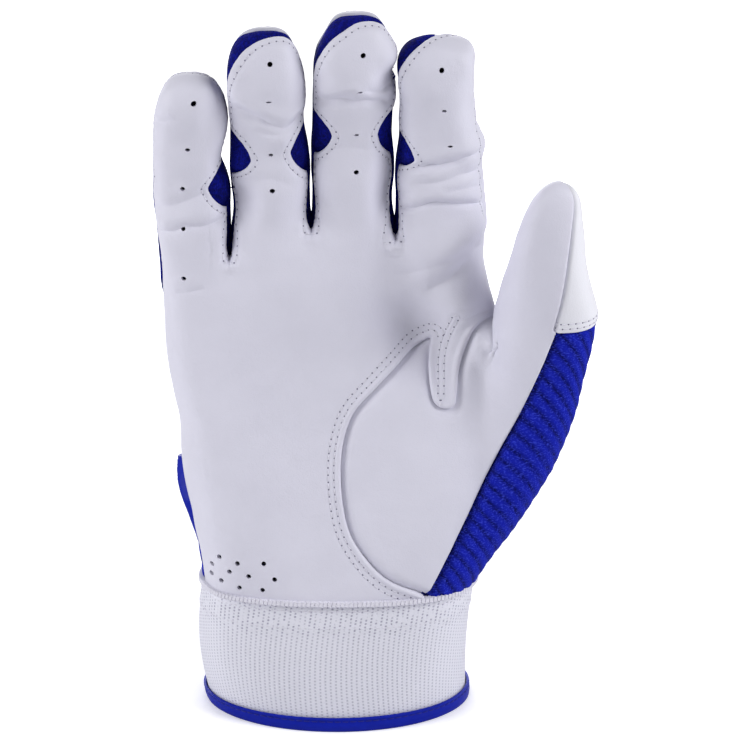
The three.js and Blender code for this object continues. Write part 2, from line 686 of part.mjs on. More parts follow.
// Everything in front of the side seam, moved by a distance
function frontOfSide(distance) {
  const line = SIDE_SEAM.map(([y, z]) => [y + distance, CUFF_HEIGHT + z]);
  const [lowY, highY] = [line[0][0], line[line.length - 1][0]];
  const below = CUFF_HEIGHT - CUT_OVERRUN;
  return prismAlongX([[-FAR, below], [lowY, below], ...line, [highY, 2 * FAR], [-FAR, 2 * FAR]], -FAR, FAR);
}

// Everything on the thumb side of a seam, moved by a distance
function thumbSideOf(line, distance) {
  const moved = movedLine(line, distance);
  const [first, last] = [moved[0], moved[moved.length - 1]];
  const [low, high] = first[1] < last[1] ? [first, last] : [last, first];
  const path = first[1] < last[1] ? moved : moved.reverse();
  const [floor, top] = [-CUT_OVERRUN, high[1] + CUT_OVERRUN];
  const outline = [[low[0], floor], [FAR, floor], [FAR, top], [high[0], top], ...[...path].reverse()];
  return prismAlongY(outline, -FAR, FAR);
}

const meshFromFront = (distance) => thumbSideOf(meshSeam, -distance);
const thumbLeatherSpace = (distance) => thumbSideOf(thumbSeam, distance);
const leather = hand.intersect(frontOfSide(-half)).subtract(meshFromFront(-half));
const heelEdge = PALM_SECTIONS[0].left;
const palmVents = ventPins(PALM_VENTS.map(([x, z]) => [heelEdge + x, CUFF_HEIGHT + z]), PALM_CENTRE_Y);
const palmLeather = leather.subtract(thumbLeatherSpace(-half)).subtract(palmVents);
addNode("palm_leather", largestBody(palmLeather), WHITE_LEATHER);
addNode("thumb_leather", largestBody(leather.intersect(thumbLeatherSpace(half))), WHITE_LEATHER);
const meshSpace = meshFromFront(half).add(slabAcross(-FAR, FAR).subtract(frontOfSide(half)));
addNode("back_mesh", largestBody(hand.intersect(meshSpace)), BLUE_KNIT);

const quirkLayer = handSolid(SEAM_GAP + QUIRK_WALL).subtract(handSolid(SEAM_GAP, 1));
const quirkLine = smoothLine([...QUIRK_OUTLINE, QUIRK_OUTLINE[0]].map(thumbPlace), 20);
const quirkPrism = prismAlongY(quirkLine.slice(0, -1), -FAR, PALM_CENTRE_Y);
addNode("thumb_quirk", largestBody(quirkLayer.intersect(quirkPrism)), WHITE_LEATHER);

// Rings round the wrist, from the hem's ellipse up to the open edge of the hand

const wristCentre = average(wristRing);
const hemRing = wristRing.map((p) => {
  const off = p.clone().sub(wristCentre);
  const angle = Math.atan2(off.y / HEM_HALF_DEPTH, off.x / HEM_HALF_WIDTH);
  const [across, deep] = [HEM_HALF_WIDTH * Math.cos(angle), HEM_HALF_DEPTH * Math.sin(angle)];
  return vector(wristCentre.x + HEM_SHIFT + across, wristCentre.y + deep, 0);
});

// The cuff's outer surface at a height, moved in or out; it swells a little at half height
function cuffRing(z, outwards) {
  const share = z / CUFF_HEIGHT;
  const swell = CUFF_SWELL * Math.sin(Math.PI * share);
  const ring = hemRing.map((p, i) => p.clone().lerp(wristRing[i], share).setZ(z));
  return ring.map((p, i) => {
    const before = ring[(i + ring.length - 1) % ring.length];
    const after = ring[(i + 1) % ring.length];
    const side = vector(after.y - before.y, before.x - after.x, 0).normalize();
    if (side.dot(vector(p.x - wristCentre.x, p.y - wristCentre.y, 0)) < 0) side.negate();
    return p.clone().addScaledVector(side, outwards + swell);
  });
}

// A closed band whose section is a list of heights and offsets from the cuff's surface
function bandSolid(section) {
  const rings = section.map(([z, outwards]) => cuffRing(z, outwards));
  const count = rings[0].length;
  const faces = [];
  rings.forEach((_, r) => {
    const next = (r + 1) % rings.length;
    for (let i = 0; i < count; i++) {
      const j = (i + 1) % count;
      const [a, b, c, d] = [r * count + i, r * count + j, next * count + j, next * count + i];
      faces.push([a, b, c], [a, c, d]);
    }
  });
  const solid = solidOfFaces(rings.flat(), faces);
  return solid.volume() < 0 ? solidOfFaces(rings.flat(), faces.map(([a, b, c]) => [a, c, b])) : solid;
}

// A place round the cuff, counted in ring points, for an angle from +X
const turn360 = 2 * Math.PI;
const nearTurn = (angle) => THREE.MathUtils.euclideanModulo(angle + Math.PI, turn360) - Math.PI;
const hemAngles = hemRing.map((p) => Math.atan2(p.y - wristCentre.y, p.x - wristCentre.x));

function ringPlace(degrees) {
  const shares = hemAngles.map((angle, i) => {
    const span = nearTurn(hemAngles[(i + 1) % hemAngles.length] - angle);
    return nearTurn(radians(degrees) - angle) / span;
  });
  const segment = shares.findIndex((share) => share >= 0 && share < 1);
  return segment + shares[segment];
}

function cuffPoint(place, z, outwards) {
  const ring = cuffRing(z, outwards);
  const whole = Math.floor(place);
  const [here, next] = [whole, whole + 1].map((i) => ring[THREE.MathUtils.euclideanModulo(i, ring.length)]);
  return here.clone().lerp(next, place - whole);
}

// A plate that follows the cuff between two angles and two heights; its offset may change along it
function cuffPlate(fromAngle, toAngle, low, high, offsetAt, wall) {
  const [from, to] = [fromAngle, toAngle].map(ringPlace).sort((a, b) => a - b);
  const places = [from];
  for (let n = Math.floor(from) + 1; n < to; n++) places.push(n);
  places.push(to);
  const columns = places.length - 1;
  const rows = 2;
  const points = [];
  for (const depth of [0, wall]) {
    for (let r = 0; r <= rows; r++) {
      for (const place of places) {
        const z = lerp(low, high, r / rows);
        points.push(cuffPoint(place, z, offsetAt(place) + depth));
      }
    }
  }
  const at = (layer, r, c) => layer * (rows + 1) * (columns + 1) + r * (columns + 1) + c;
  const faces = [];
  const quad = (a, b, c, d) => faces.push([a, b, c], [a, c, d]);
  for (let r = 0; r < rows; r++) {
    for (let c = 0; c < columns; c++) {
      quad(at(1, r, c), at(1, r, c + 1), at(1, r + 1, c + 1), at(1, r + 1, c));
      quad(at(0, r, c), at(0, r + 1, c), at(0, r + 1, c + 1), at(0, r, c + 1));
    }
    quad(at(0, r, 0), at(1, r, 0), at(1, r + 1, 0), at(0, r + 1, 0));
    quad(at(0, r, columns), at(0, r + 1, columns), at(1, r + 1, columns), at(1, r, columns));
  }
  for (let c = 0; c < columns; c++) {
    quad(at(0, 0, c), at(0, 0, c + 1), at(1, 0, c + 1), at(1, 0, c));
    quad(at(0, rows, c), at(1, rows, c), at(1, rows, c + 1), at(0, rows, c + 1));
  }
  const solid = solidOfFaces(points, faces);
  return solid.volume() < 0 ? solidOfFaces(points, faces.map(([a, b, c]) => [a, c, b])) : solid;
}

const slitX = cuffPoint(ringPlace(SLIT_ANGLE), 0, 0).x;
const [slitLeft, slitRight] = [slitX - SLIT_WIDTH / 2, slitX + SLIT_WIDTH / 2];
const [slitLow, slitHigh] = [-CUT_OVERRUN, CUFF_HEIGHT + CUT_OVERRUN];
const slitOutline = [[slitLeft, slitLow], [slitRight, slitLow], [slitRight, slitHigh], [slitLeft, slitHigh]];
const slit = prismAlongY(slitOutline, wristCentre.y, FAR);

const cuffFoot = HEM_FLOOR + SEAM_GAP;
const cuffHead = CUFF_HEIGHT - SEAM_GAP;
const cuffRows = [0, 1 / 3, 2 / 3, 1].map((share) => lerp(cuffFoot, cuffHead, share));
const cuffInside = [...cuffRows].reverse().map((z) => [z, -CUFF_WALL]);
const cuff = bandSolid([...cuffRows.map((z) => [z, 0]), ...cuffInside]);
addNode("cuff_knit", cuff.subtract(slit), WHITE_KNIT);

const outside = SEAM_GAP + HEM_WALL;
const inside = -CUFF_WALL - SEAM_GAP;
addNode("hem_binding", bandSolid([
  [0, outside], [HEM_HEIGHT, outside], [HEM_HEIGHT, SEAM_GAP], [HEM_FLOOR, SEAM_GAP],
  [HEM_FLOOR, inside], [HEM_HEIGHT, inside], [HEM_HEIGHT, inside - HEM_WALL], [0, inside - HEM_WALL],
]).subtract(slit), BLUE_TAPE);

const tapeLow = CUFF_HEIGHT - TAPE_HEIGHT;
addNode("cuff_seam_tape", bandSolid([
  [tapeLow, inside], [CUFF_HEIGHT, inside], [CUFF_HEIGHT, inside - TAPE_WALL], [tapeLow, inside - TAPE_WALL],
]).subtract(slit), WHITE_TAPE);

const loopOffset = () => SEAM_GAP;
const hookOffset = () => SEAM_GAP + LOOP_WALL + SEAM_GAP;
const strapLift = hookOffset() + HOOK_WALL + SEAM_GAP;
const [rootStart, rootEnd] = [STRAP_ROOT_ANGLE, STRAP_ROOT_ANGLE + STRAP_ROOT_RUN].map(ringPlace);
const rootShare = (place) => THREE.MathUtils.clamp((place - rootStart) / (rootEnd - rootStart), 0, 1);
const strapOffset = (place) => lerp(SEAM_GAP, strapLift, rootShare(place));
const hookLow = STRAP_LOW + PATCH_MARGIN;
const strapHigh = STRAP_LOW + STRAP_HEIGHT;
const hookHigh = strapHigh - PATCH_MARGIN;
const hookEnd = STRAP_END_ANGLE - HOOK_END_INSET;
const loopPatch = cuffPlate(LOOP_START_ANGLE, LOOP_END_ANGLE, hookLow, hookHigh, loopOffset, LOOP_WALL);
const hookPatch = cuffPlate(HOOK_START_ANGLE, hookEnd, hookLow, hookHigh, hookOffset, HOOK_WALL);
const strap = cuffPlate(STRAP_ROOT_ANGLE, STRAP_END_ANGLE, STRAP_LOW, strapHigh, strapOffset, STRAP_WALL);
addNode("loop_patch", loopPatch, WHITE_TAPE);
addNode("hook_patch", hookPatch, WHITE_TAPE);
addNode("wrist_strap", strap, WHITE_LEATHER);
addNode("size_label", cuffPlate(
  LABEL_ANGLE - LABEL_SPAN / 2, LABEL_ANGLE + LABEL_SPAN / 2, LABEL_LOW, LABEL_LOW + LABEL_HEIGHT,
  () => inside - LABEL_WALL, LABEL_WALL,
), WHITE_TAPE);

// The origin is the middle of the glove's footprint, on the surface that it stands on
const box = new THREE.Box3().setFromObject(group);
const middle = box.getCenter(new THREE.Vector3());
group.position.set(-middle.x, -middle.y, -box.min.z);

export default group;
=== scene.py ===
import math
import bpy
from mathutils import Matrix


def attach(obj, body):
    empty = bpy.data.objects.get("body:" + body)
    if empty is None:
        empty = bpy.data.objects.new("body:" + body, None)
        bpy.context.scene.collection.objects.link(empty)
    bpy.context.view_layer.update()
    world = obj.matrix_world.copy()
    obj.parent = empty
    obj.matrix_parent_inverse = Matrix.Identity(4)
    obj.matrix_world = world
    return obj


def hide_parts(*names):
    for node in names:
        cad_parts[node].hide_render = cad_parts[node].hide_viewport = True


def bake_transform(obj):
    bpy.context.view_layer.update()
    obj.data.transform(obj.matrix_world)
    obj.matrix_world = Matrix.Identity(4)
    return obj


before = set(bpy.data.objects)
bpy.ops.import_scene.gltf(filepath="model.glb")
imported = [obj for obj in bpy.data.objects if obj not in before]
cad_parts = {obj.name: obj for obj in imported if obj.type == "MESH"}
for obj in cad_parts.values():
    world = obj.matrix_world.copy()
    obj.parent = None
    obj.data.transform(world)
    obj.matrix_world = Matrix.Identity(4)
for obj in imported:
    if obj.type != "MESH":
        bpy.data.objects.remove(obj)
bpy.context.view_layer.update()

from types import SimpleNamespace

import bpy
import numpy as np
from mathutils import Vector, noise

# A right-hand batting glove: white leather palm and fingers, blue stretch gussets and ribbed mesh, and a
# white knit cuff with a blue hem. It is modelled in millimetres and put into the frame in metres
MM = 0.001

# The glove's measure has its zero between its sides; the frame's is the middle of the footprint
ORIGIN_SHIFT = np.array([0.0012, 2.0765, 0.0])


def table(names, *rows):
    """Rows of sizes as objects with named values."""
    return [SimpleNamespace(**dict(zip(names.split(), row))) for row in rows]


# Palm, from the cuff seam up: height above the section below, how far the pinky edge is drawn in and the
# thumb edge stands out against the knuckles, how far front and back stand, and how square the section is
CUFF_HEIGHT = 41.5
PALM_SECTIONS = table(
    "above left_in right_out front back square",
    (0, 10.4, -1.4, 27.5, 26.5, 2.6),
    (9.5, 9.4, 3.0, 26.0, 24.5, 2.9),
    (31, 3.7, 6.8, 21.5, 20.5, 3.3),
    (32, 0.8, 4.3, 16.5, 16.5, 3.6),
    (16, 0, 1.4, 14.5, 14.5, 3.6),
)
THUMB_LEVEL = 3
PALM_CENTRE_Y = -1.0
PALM_EDGE_INSET = 4.5
HEEL_MOUND = 2.5
PALM_HOLLOW = 3.0

# Fingers: base, width and tip are their widths, turn is that of the tip's seams in degrees, tip_edge is how
# far the front stops short there, and start is where along the finger its own pieces begin
KNUCKLE_LEFT = -65.0
KNUCKLE_DEPTH = 25.0
OUTER_WEB = -1.0
FINGERS = table(
    "name base width tip depth knuckle web length joint tip_shift turn tip_edge start",
    ("pinky", 21.1, 22.0, 19.6, 20, 9, 3.6, 65.9, 30.5, -1.2, -4, -3.5, 2.6),
    ("ring", 24.7, 22.8, 22.2, 22, 13, 8, 75.6, 36, -0.4, 20, 2.6, 7.0),
    ("middle", 25.3, 24.2, 24.2, 23, 17, 1.5, 76.4, 37, 0.2, 20, 3.0, 3.4),
    ("index", 27.1, 24.6, 22.8, 23, 14, -2, 72.6, 37, -2.2, 40, -1.0, 3.6),
)
PINKY, INDEX = 0, 3
# How far from the middle joint a finger's upper pieces start and end their bend
JOINT_BEND = 9
FINGER_GAP = 2.4
LEAN_BASE = math.radians(5)
LEAN_TIP = math.radians(27)
TIP_DEPTH_SHARE = 0.84
# The cage's rings between web and tip, as shares of the way, and those that round off the tip: place before
# the end, width and depth; the end itself lies a little beyond
TIP_ROUND = 11.0
LOW_FILL = 0.6
HIGH_PLACE = 0.45
HIGH_THINNING = 0.5
TIP_RINGS = ((0.8, 0.98, 1.0), (0.12, 0.66, 0.62))
TIP_APEX = 0.06
GUSSET_HALF_BASE = 4.0
GUSSET_TIP_WIDTH = 5.0
GUSSET_TIP_WIDENING = 4.5
OUTER_GUSSET_EDGE = 2.2
CROTCH_EDGE = 3.5
SIDE_EDGE = -8.0
# Where along the pinky's outer side and the index finger's thumb side the leather gives way to the gusset,
# and where the finger fronts begin in the crotches
PINKY_RISE = (-26, 0)
INDEX_RISE = (-6, 16)
CROTCH_START = -12

# The thumb, from the thumb-side edge of the knuckles and the height of the palm section that bears it
THUMB_SECTIONS = (
    ((2.6, 11.5), (27.3, -24.5), -10, 16.5),
    ((3.8, 18), (32.4, -1.5), -14, 14),
    ((5, 25.5), (33.2, 15), -19.5, 12.5),
    ((8, 40.5), (29.4, 38.5), -27, 10.5),
    ((12.8, 54.5), (26, 55.3), -32, 6.6),
)
THUMB_TIP = (20.6, -34.8, 64)
THUMB_SPLIT = (18.8, -17, 15)
THUMB_AXIS = np.array([0.045, -0.36, 0.93])
THUMB_FACE = (21.9, -33.3, 31)
THUMB_FACE_TURN = math.radians(55)
THUMB_JOINT = 22.0
THUMB_MIDDLE = 13.0
COVER_HEM = (18.8, -17, 15)
COVER_HEM_FACING = np.array([0.0, -0.17, 0.985])
INDEX_THUMB_PLANE = 3.2

# Seams seen from the palm, in the thumb's measure, and the side seam as Y and height over the cuff
TONGUE_SEAM = ((3.2, 17), (0.3, 13.5), (-3.2, 9), (-5.6, 3), (-7.3, -2.5), (-8.3, -9.5), (-9, -12.7),
               (-11, -13.7), (-13.9, -13), (-15.8, -10.1), (-16.5, -3.5), (-15.8, 2.5), (-14.8, 7.3))
THUMB_SEAM = ((-14.8, 7.3), (-22.7, 3), (-33.2, -7.9), (-40.7, -17.3), (-43.7, -31), (-42.3, -47.4),
              (-37.8, -57.1), (-30.1, -65.2), (-19.7, -70.6), (-16, -74))
MESH_SEAM = ((-18.4, -74), (-16.9, -71), (-7.2, -51.3), (1.8, -32.1), (10.6, -13.2), (16.4, 0.9), (19.9, 11))
SIDE_SEAM = ((-9, 0), (-7, 25), (6, 41), (7, 90))
TONGUE_ROOT = ((-16, 6.5), (-1, 10.5))
TONGUE_MIDDLE = ((-8.6, 13.2), (-10.6, 7), (-12.2, 0), (-13.2, -10))

# The control cage of the smooth skin
CAGE_SCALE = 1.08
CORNER = 0.78
SADDLE_RISE = 2.7
EDGE_INSET = 2.5
EDGE_BULGE = 1.0
WEB_RISE = 6.0
SKIN_LEVEL = 4


def lerp(a, b, share):
    return a + (b - a) * share


def smoothstep(low, high, value):
    share = np.clip((value - low) / (high - low), 0, 1)
    return share * share * (3 - 2 * share)


def plateau(value, rise, fall):
    """One between two stretches, over which it rises from nothing and falls back to it."""
    return smoothstep(*rise, value) * (1 - smoothstep(*fall, value))


def unit(vectors):
    return vectors / np.linalg.norm(vectors, axis=-1, keepdims=True)


def hump(distance, width):
    """A bell that falls to nothing over about twice the width."""
    return np.exp(-((distance / width) ** 2))


def sides(face):
    """The edges of a face, from corner to corner."""
    return zip(face, face[1:] + face[:1])


def edge_key(a, b):
    return (min(a, b), max(a, b))


# Where the sections, the knuckles and the webs come to lie
PALM_TOP = CUFF_HEIGHT
for section in PALM_SECTIONS:
    PALM_TOP += section.above
    section.z = PALM_TOP
KNUCKLE_RIGHT = KNUCKLE_LEFT
for f in FINGERS:
    f.left = KNUCKLE_RIGHT
    f.right = f.left + f.base
    f.centre = f.left + f.base / 2
    f.knuckle_z = PALM_TOP + f.knuckle
    f.middle = f.joint - JOINT_BEND
    KNUCKLE_RIGHT = f.right
THUMB_Z = PALM_SECTIONS[THUMB_LEVEL].z
WEBS = [FINGERS[PINKY].knuckle_z + OUTER_WEB] + [f.knuckle_z + f.web for f in FINGERS]
for section in PALM_SECTIONS:
    section.left = KNUCKLE_LEFT + section.left_in
    section.right = KNUCKLE_RIGHT + section.right_out


def thumb_place(line):
    return np.array(line, float) + (KNUCKLE_RIGHT, THUMB_Z)


def thumb_point(place):
    return np.array(place) + (KNUCKLE_RIGHT, 0, THUMB_Z)


def finger_centre(f, along):
    """A point of a finger's arched centre line, and the direction to its front."""
    lean = lerp(LEAN_BASE, LEAN_TIP, along / f.length)
    radius = f.length / (LEAN_TIP - LEAN_BASE)
    centre = np.array([
        f.centre + f.tip_shift * along / f.length,
        PALM_CENTRE_Y - radius * (math.cos(LEAN_BASE) - math.cos(lean)),
        f.knuckle_z + radius * (math.sin(lean) - math.sin(LEAN_BASE)),
    ])
    return centre, np.array([0, -math.cos(lean), -math.sin(lean)])


# The control cage

cage_points = []
cage_quads = []


def add_ring(points):
    first = len(cage_points)
    cage_points.extend(points)
    return list(range(first, len(cage_points)))


def bridge(lower, upper, skipped=()):
    count = len(lower)
    for i in range(count):
        if i not in skipped:
            j = (i + 1) % count
            cage_quads.append((lower[i], lower[j], upper[j], upper[i]))


def close_tip(ring, apex, first_corner):
    centre = add_ring([apex])[0]
    for i in range(first_corner, 8, 2):
        cage_quads.append((centre, ring[(i + 7) % 8], ring[i], ring[(i + 1) % 8]))


columns = [x for f in FINGERS for x in (f.left, f.centre)] + [KNUCKLE_RIGHT]
LAST = len(columns) - 1


def palm_ring(section, level):
    """The heel of the hand swells on both sides of a hollow palm."""
    front_points = []
    back_points = []
    half = (section.right - section.left) / 2
    for j, place in enumerate(columns):
        share = (place - KNUCKLE_LEFT) / (KNUCKLE_RIGHT - KNUCKLE_LEFT)
        x = lerp(section.left, section.right, share)
        if j == 0:
            x = section.left + PALM_EDGE_INSET
        if j == LAST:
            x = section.right - PALM_EDGE_INSET
        off = abs(x - section.left - half) / half
        depth = (1 - off ** section.square) ** (1 / section.square)
        relief = 0
        if j in (1, 2) or j >= 6:
            relief = HEEL_MOUND if level in (1, 2) else 0
        elif 3 <= j <= 5:
            relief = -PALM_HOLLOW if level in (2, 3) else 0
        front_points.append((x, PALM_CENTRE_Y - section.front * depth - relief, section.z))
        back_points.append((x, PALM_CENTRE_Y + section.back * depth, section.z))
    bulge = PALM_EDGE_INSET / 3
    left_point = (section.left - bulge, PALM_CENTRE_Y, section.z)
    right_point = (section.right + bulge, PALM_CENTRE_Y, section.z)
    return add_ring([left_point] + front_points + [right_point] + back_points[::-1])


def finger_ring(f, along, half_width, half_depth, tilt=0.0):
    places = ((-1, 0), (-CORNER, CORNER), (0, 1), (CORNER, CORNER),
              (1, 0), (CORNER, -CORNER), (0, -1), (-CORNER, -CORNER))
    centre, front = finger_centre(f, along)
    ring = []
    for a, b in places:
        point = centre + front * b * half_depth * CAGE_SCALE
        point[0] += a * half_width * CAGE_SCALE
        point[2] += (point[0] - f.centre) * tilt
        ring.append(tuple(point))
    return ring


def thumb_ring(web, outer, y, half):
    places = ((CORNER, CORNER), (1, 0), (CORNER, -CORNER), (0, -1),
              (-CORNER, -CORNER), (-1, 0), (-CORNER, CORNER), (0, 1))
    near, far = thumb_place((web, outer))
    middle = (near + far) / 2
    reach = (far - near) / 2 * CAGE_SCALE
    ring = []
    for a, b in places:
        ring.append((middle[0] + reach[0] * a, y - half * CAGE_SCALE * b, middle[1] + reach[1] * a))
    return ring


def build_cage():
    palm_rings = [palm_ring(section, level) for level, section in enumerate(PALM_SECTIONS)]
    knuckle = SimpleNamespace(front=[], back=[], middle=[])
    deep = KNUCKLE_DEPTH / 2 * CAGE_SCALE
    for j, x in enumerate(columns):
        web = WEBS[j // 2] if j % 2 == 0 else (WEBS[j // 2] + WEBS[j // 2 + 1]) / 2
        inwards = 1 if j == 0 else -1 if j == LAST else 0
        reach = deep * CORNER if inwards else deep
        inner_x = x + inwards * EDGE_INSET
        z = web - SADDLE_RISE
        knuckle.front += add_ring([(inner_x, PALM_CENTRE_Y - reach, z)])
        knuckle.back += add_ring([(inner_x, PALM_CENTRE_Y + reach, z)])
        if j % 2 == 0:
            knuckle.middle += add_ring([(x - inwards * EDGE_BULGE, PALM_CENTRE_Y, z)])
    knuckle_ring = [knuckle.middle[0]] + knuckle.front + [knuckle.middle[-1]] + knuckle.back[::-1]
    for level, (lower, upper) in enumerate(zip(palm_rings, palm_rings[1:] + [knuckle_ring])):
        open_for_thumb = (LAST + 1, LAST + 2) if level in (THUMB_LEVEL - 2, THUMB_LEVEL - 1) else ()
        bridge(lower, upper, open_for_thumb)
    for i, f in enumerate(FINGERS):
        j = 2 * i
        lower = [knuckle.middle[i], knuckle.front[j], knuckle.front[j + 1], knuckle.front[j + 2],
                 knuckle.middle[i + 1], knuckle.back[j + 2], knuckle.back[j + 1], knuckle.back[j]]
        base_half = (f.base - FINGER_GAP) / 2
        half = f.width / 2
        tip_half = f.tip / 2
        tip_depth = f.depth / 2 * TIP_DEPTH_SHARE
        rise = (WEBS[i] + WEBS[i + 1]) / 2 + WEB_RISE - f.knuckle_z
        tilt = (WEBS[i + 1] - WEBS[i]) / f.base
        rings = [
            finger_ring(f, rise, base_half, KNUCKLE_DEPTH / 2, tilt),
            finger_ring(f, lerp(rise, f.joint, 0.5), lerp(base_half, half, LOW_FILL),
                        lerp(KNUCKLE_DEPTH, f.depth, LOW_FILL) / 2),
            finger_ring(f, f.joint, half, f.depth / 2),
            finger_ring(f, lerp(f.joint, f.length, HIGH_PLACE), lerp(half, tip_half, 0.5),
                        f.depth / 2 - HIGH_THINNING),
        ]
        for before, wide, thick in TIP_RINGS:
            rings.append(finger_ring(f, f.length - TIP_ROUND * before, tip_half * wide, tip_depth * thick))
        for ring in rings:
            upper = add_ring(ring)
            bridge(lower, upper)
            lower = upper
        close_tip(lower, tuple(finger_centre(f, f.length + TIP_ROUND * TIP_APEX)[0]), 1)
    low, mid, top = palm_rings[THUMB_LEVEL - 2:THUMB_LEVEL + 1]
    side = LAST + 1
    lower = [low[side], low[side + 1], low[side + 2], mid[side + 2],
             top[side + 2], top[side + 1], top[side], mid[side]]
    for section in THUMB_SECTIONS:
        upper = add_ring(thumb_ring(*section))
        bridge(lower, upper)
        lower = upper
    close_tip(lower, tuple(thumb_point(THUMB_TIP)), 0)


def mesh_object(name, points, faces, smooth_angle=None):
    """A new mesh object from points in the glove's measure."""
    mesh = bpy.data.meshes.new(name)
    place = (np.asarray(points, float) + ORIGIN_SHIFT) * MM
    mesh.from_pydata(place.tolist(), [], [list(face) for face in faces])
    made = bpy.data.objects.new(name, mesh)
    bpy.context.collection.objects.link(made)
    bpy.ops.object.select_all(action="DESELECT")
    made.select_set(True)
    bpy.context.view_layer.objects.active = made
    if smooth_angle:
        bpy.ops.object.shade_smooth_by_angle(angle=math.radians(smooth_angle))
    return made


def read_mesh(made):
    mesh = made.data
    points = np.empty(len(mesh.vertices) * 3)
    mesh.vertices.foreach_get("co", points)
    corners = np.empty(len(mesh.loops), int)
    mesh.loops.foreach_get("vertex_index", corners)
    return points.reshape(-1, 3) / MM - ORIGIN_SHIFT, corners.reshape(-1, 4).tolist()


def point_normals(points, faces):
    corners = np.array([(f[0], f[k], f[k + 1]) for f in faces for k in range(1, len(f) - 1)])
    a, b, c = (points[corners[:, i]] for i in range(3))
    across = np.cross(b - a, c - a)
    normals = np.zeros_like(points)
    for i in range(3):
        np.add.at(normals, corners[:, i], across)
    return normals / np.maximum(np.linalg.norm(normals, axis=1), 1e-12)[:, None]


def refine(points, faces, near):
    """Splits the quads near some points in four; their neighbours take the new points into their edges."""
    made = {}
    extra = []
    split = {i for i, face in enumerate(faces) if len(face) == 4 and any(near[k] for k in face)}
    for i in split:
        for a, b in sides(faces[i]):
            if edge_key(a, b) not in made:
                made[edge_key(a, b)] = len(points) + len(extra)
                extra.append((points[a] + points[b]) / 2)
    finer = []
    for i, face in enumerate(faces):
        ring = []
        for a, b in sides(face):
            ring.append(a)
            if edge_key(a, b) in made:
                ring.append(made[edge_key(a, b)])
        if i in split:
            centre = len(points) + len(extra)
            extra.append(points[face].mean(axis=0))
            finer += [[ring[k], ring[k + 1], centre, ring[k - 1]] for k in range(0, 8, 2)]
        else:
            finer.append(ring)
    return np.vstack([points] + extra), finer


def smooth_skin():
    """The cage made smooth: its points and quads at rest."""
    build_cage()
    cage = mesh_object("hand_cage", cage_points, cage_quads)
    rounds = cage.modifiers.new("rounds", "SUBSURF")
    rounds.levels = SKIN_LEVEL
    rounds.render_levels = SKIN_LEVEL
    bpy.ops.object.modifier_apply(modifier=rounds.name)
    points, quads = read_mesh(cage)
    bpy.data.objects.remove(cage)
    return points, quads


# Measures of a place on the skin

SLOTS = np.array([f.left for f in FINGERS] + [KNUCKLE_RIGHT])
INDEX_LIMIT = KNUCKLE_RIGHT + INDEX_THUMB_PLANE
OFF_FINGER = -99.0
FAR = 250.0


def of_fingers(name):
    return np.array([getattr(f, name) for f in FINGERS], float)


def finger_measure(p):
    """For each point: its finger, and its place along, in front of and across the finger's middle."""
    slot = np.clip(np.searchsorted(SLOTS, p[:, 0]) - 1, 0, len(FINGERS) - 1)
    length = of_fingers("length")[slot]
    radius = length / (LEAN_TIP - LEAN_BASE)
    y = p[:, 1] - (PALM_CENTRE_Y - radius * math.cos(LEAN_BASE))
    z = p[:, 2] - (of_fingers("knuckle_z")[slot] - radius * math.sin(LEAN_BASE))
    along = (np.arctan2(z, y) - LEAN_BASE) * radius
    along = np.where(p[:, 0] > INDEX_LIMIT, OFF_FINGER, along)
    front = radius - np.hypot(y, z)
    across = p[:, 0] - of_fingers("centre")[slot] - of_fingers("tip_shift")[slot] * along / length
    return SimpleNamespace(slot=slot, along=along, front=front, across=across, length=length,
                           joint=of_fingers("joint")[slot])


def smooth_line(points, count):
    """A curve through points, as evenly parted points."""
    p = np.array(points, float)
    t = np.linspace(0, len(p) - 1, count + 1)
    i = np.minimum(t.astype(int), len(p) - 2)
    t = (t - i)[:, None]
    before, here, there, after = (p[np.clip(i + k, 0, len(p) - 1)] for k in (-1, 0, 1, 2))
    start, end = (there - before) / 2, (after - here) / 2
    curve = (2 * here - 2 * there + start + end) * t ** 3
    return curve + (3 * there - 3 * here - 2 * start - end) * t ** 2 + start * t + here


def line_distance(p, line):
    """Distance from a line seen from the palm, positive on the left of its run."""
    at = p[:, (0, 2)]
    best = np.full(len(p), np.inf)
    signed = np.zeros(len(p))
    for a, b in zip(line[:-1], line[1:]):
        run = b - a
        off = at - a
        share = np.clip(off @ run / (run @ run), 0, 1)
        away = off - share[:, None] * run
        distance = np.hypot(away[:, 0], away[:, 1])
        side = np.where(run[0] * off[:, 1] - run[1] * off[:, 0] >= 0, 1, -1)
        nearer = distance < best
        best = np.where(nearer, distance, best)
        signed = np.where(nearer, side * distance, signed)
    return signed


def region_distance(p, line, closing):
    """Distance from a line seen from the palm, positive inside the outline it makes with closing points."""
    x, z = p[:, 0], p[:, 2]
    inside = np.zeros(len(p), bool)
    for (ax, az), (bx, bz) in sides([tuple(q) for q in line] + list(closing)):
        if az != bz:
            inside ^= ((az > z) != (bz > z)) & (x < ax + (bx - ax) * (z - az) / (bz - az))
    distance = np.abs(line_distance(p, line))
    return np.where(inside, distance, -distance)


thumb_seam = np.vstack([[(INDEX_LIMIT, FAR)], smooth_line(thumb_place(TONGUE_SEAM), 48),
                        smooth_line(thumb_place(THUMB_SEAM), 40)[1:]])
mesh_seam = smooth_line(thumb_place(MESH_SEAM), 16)
tongue_root = thumb_place(TONGUE_ROOT)
tongue_middle = smooth_line(thumb_place(TONGUE_MIDDLE), 12)
thumb_axis = unit(THUMB_AXIS)
thumb_start = thumb_point(THUMB_SPLIT)
thumb_face_place = thumb_point(THUMB_FACE)
thumb_face = np.array([-math.sin(THUMB_FACE_TURN), -math.cos(THUMB_FACE_TURN), 0])

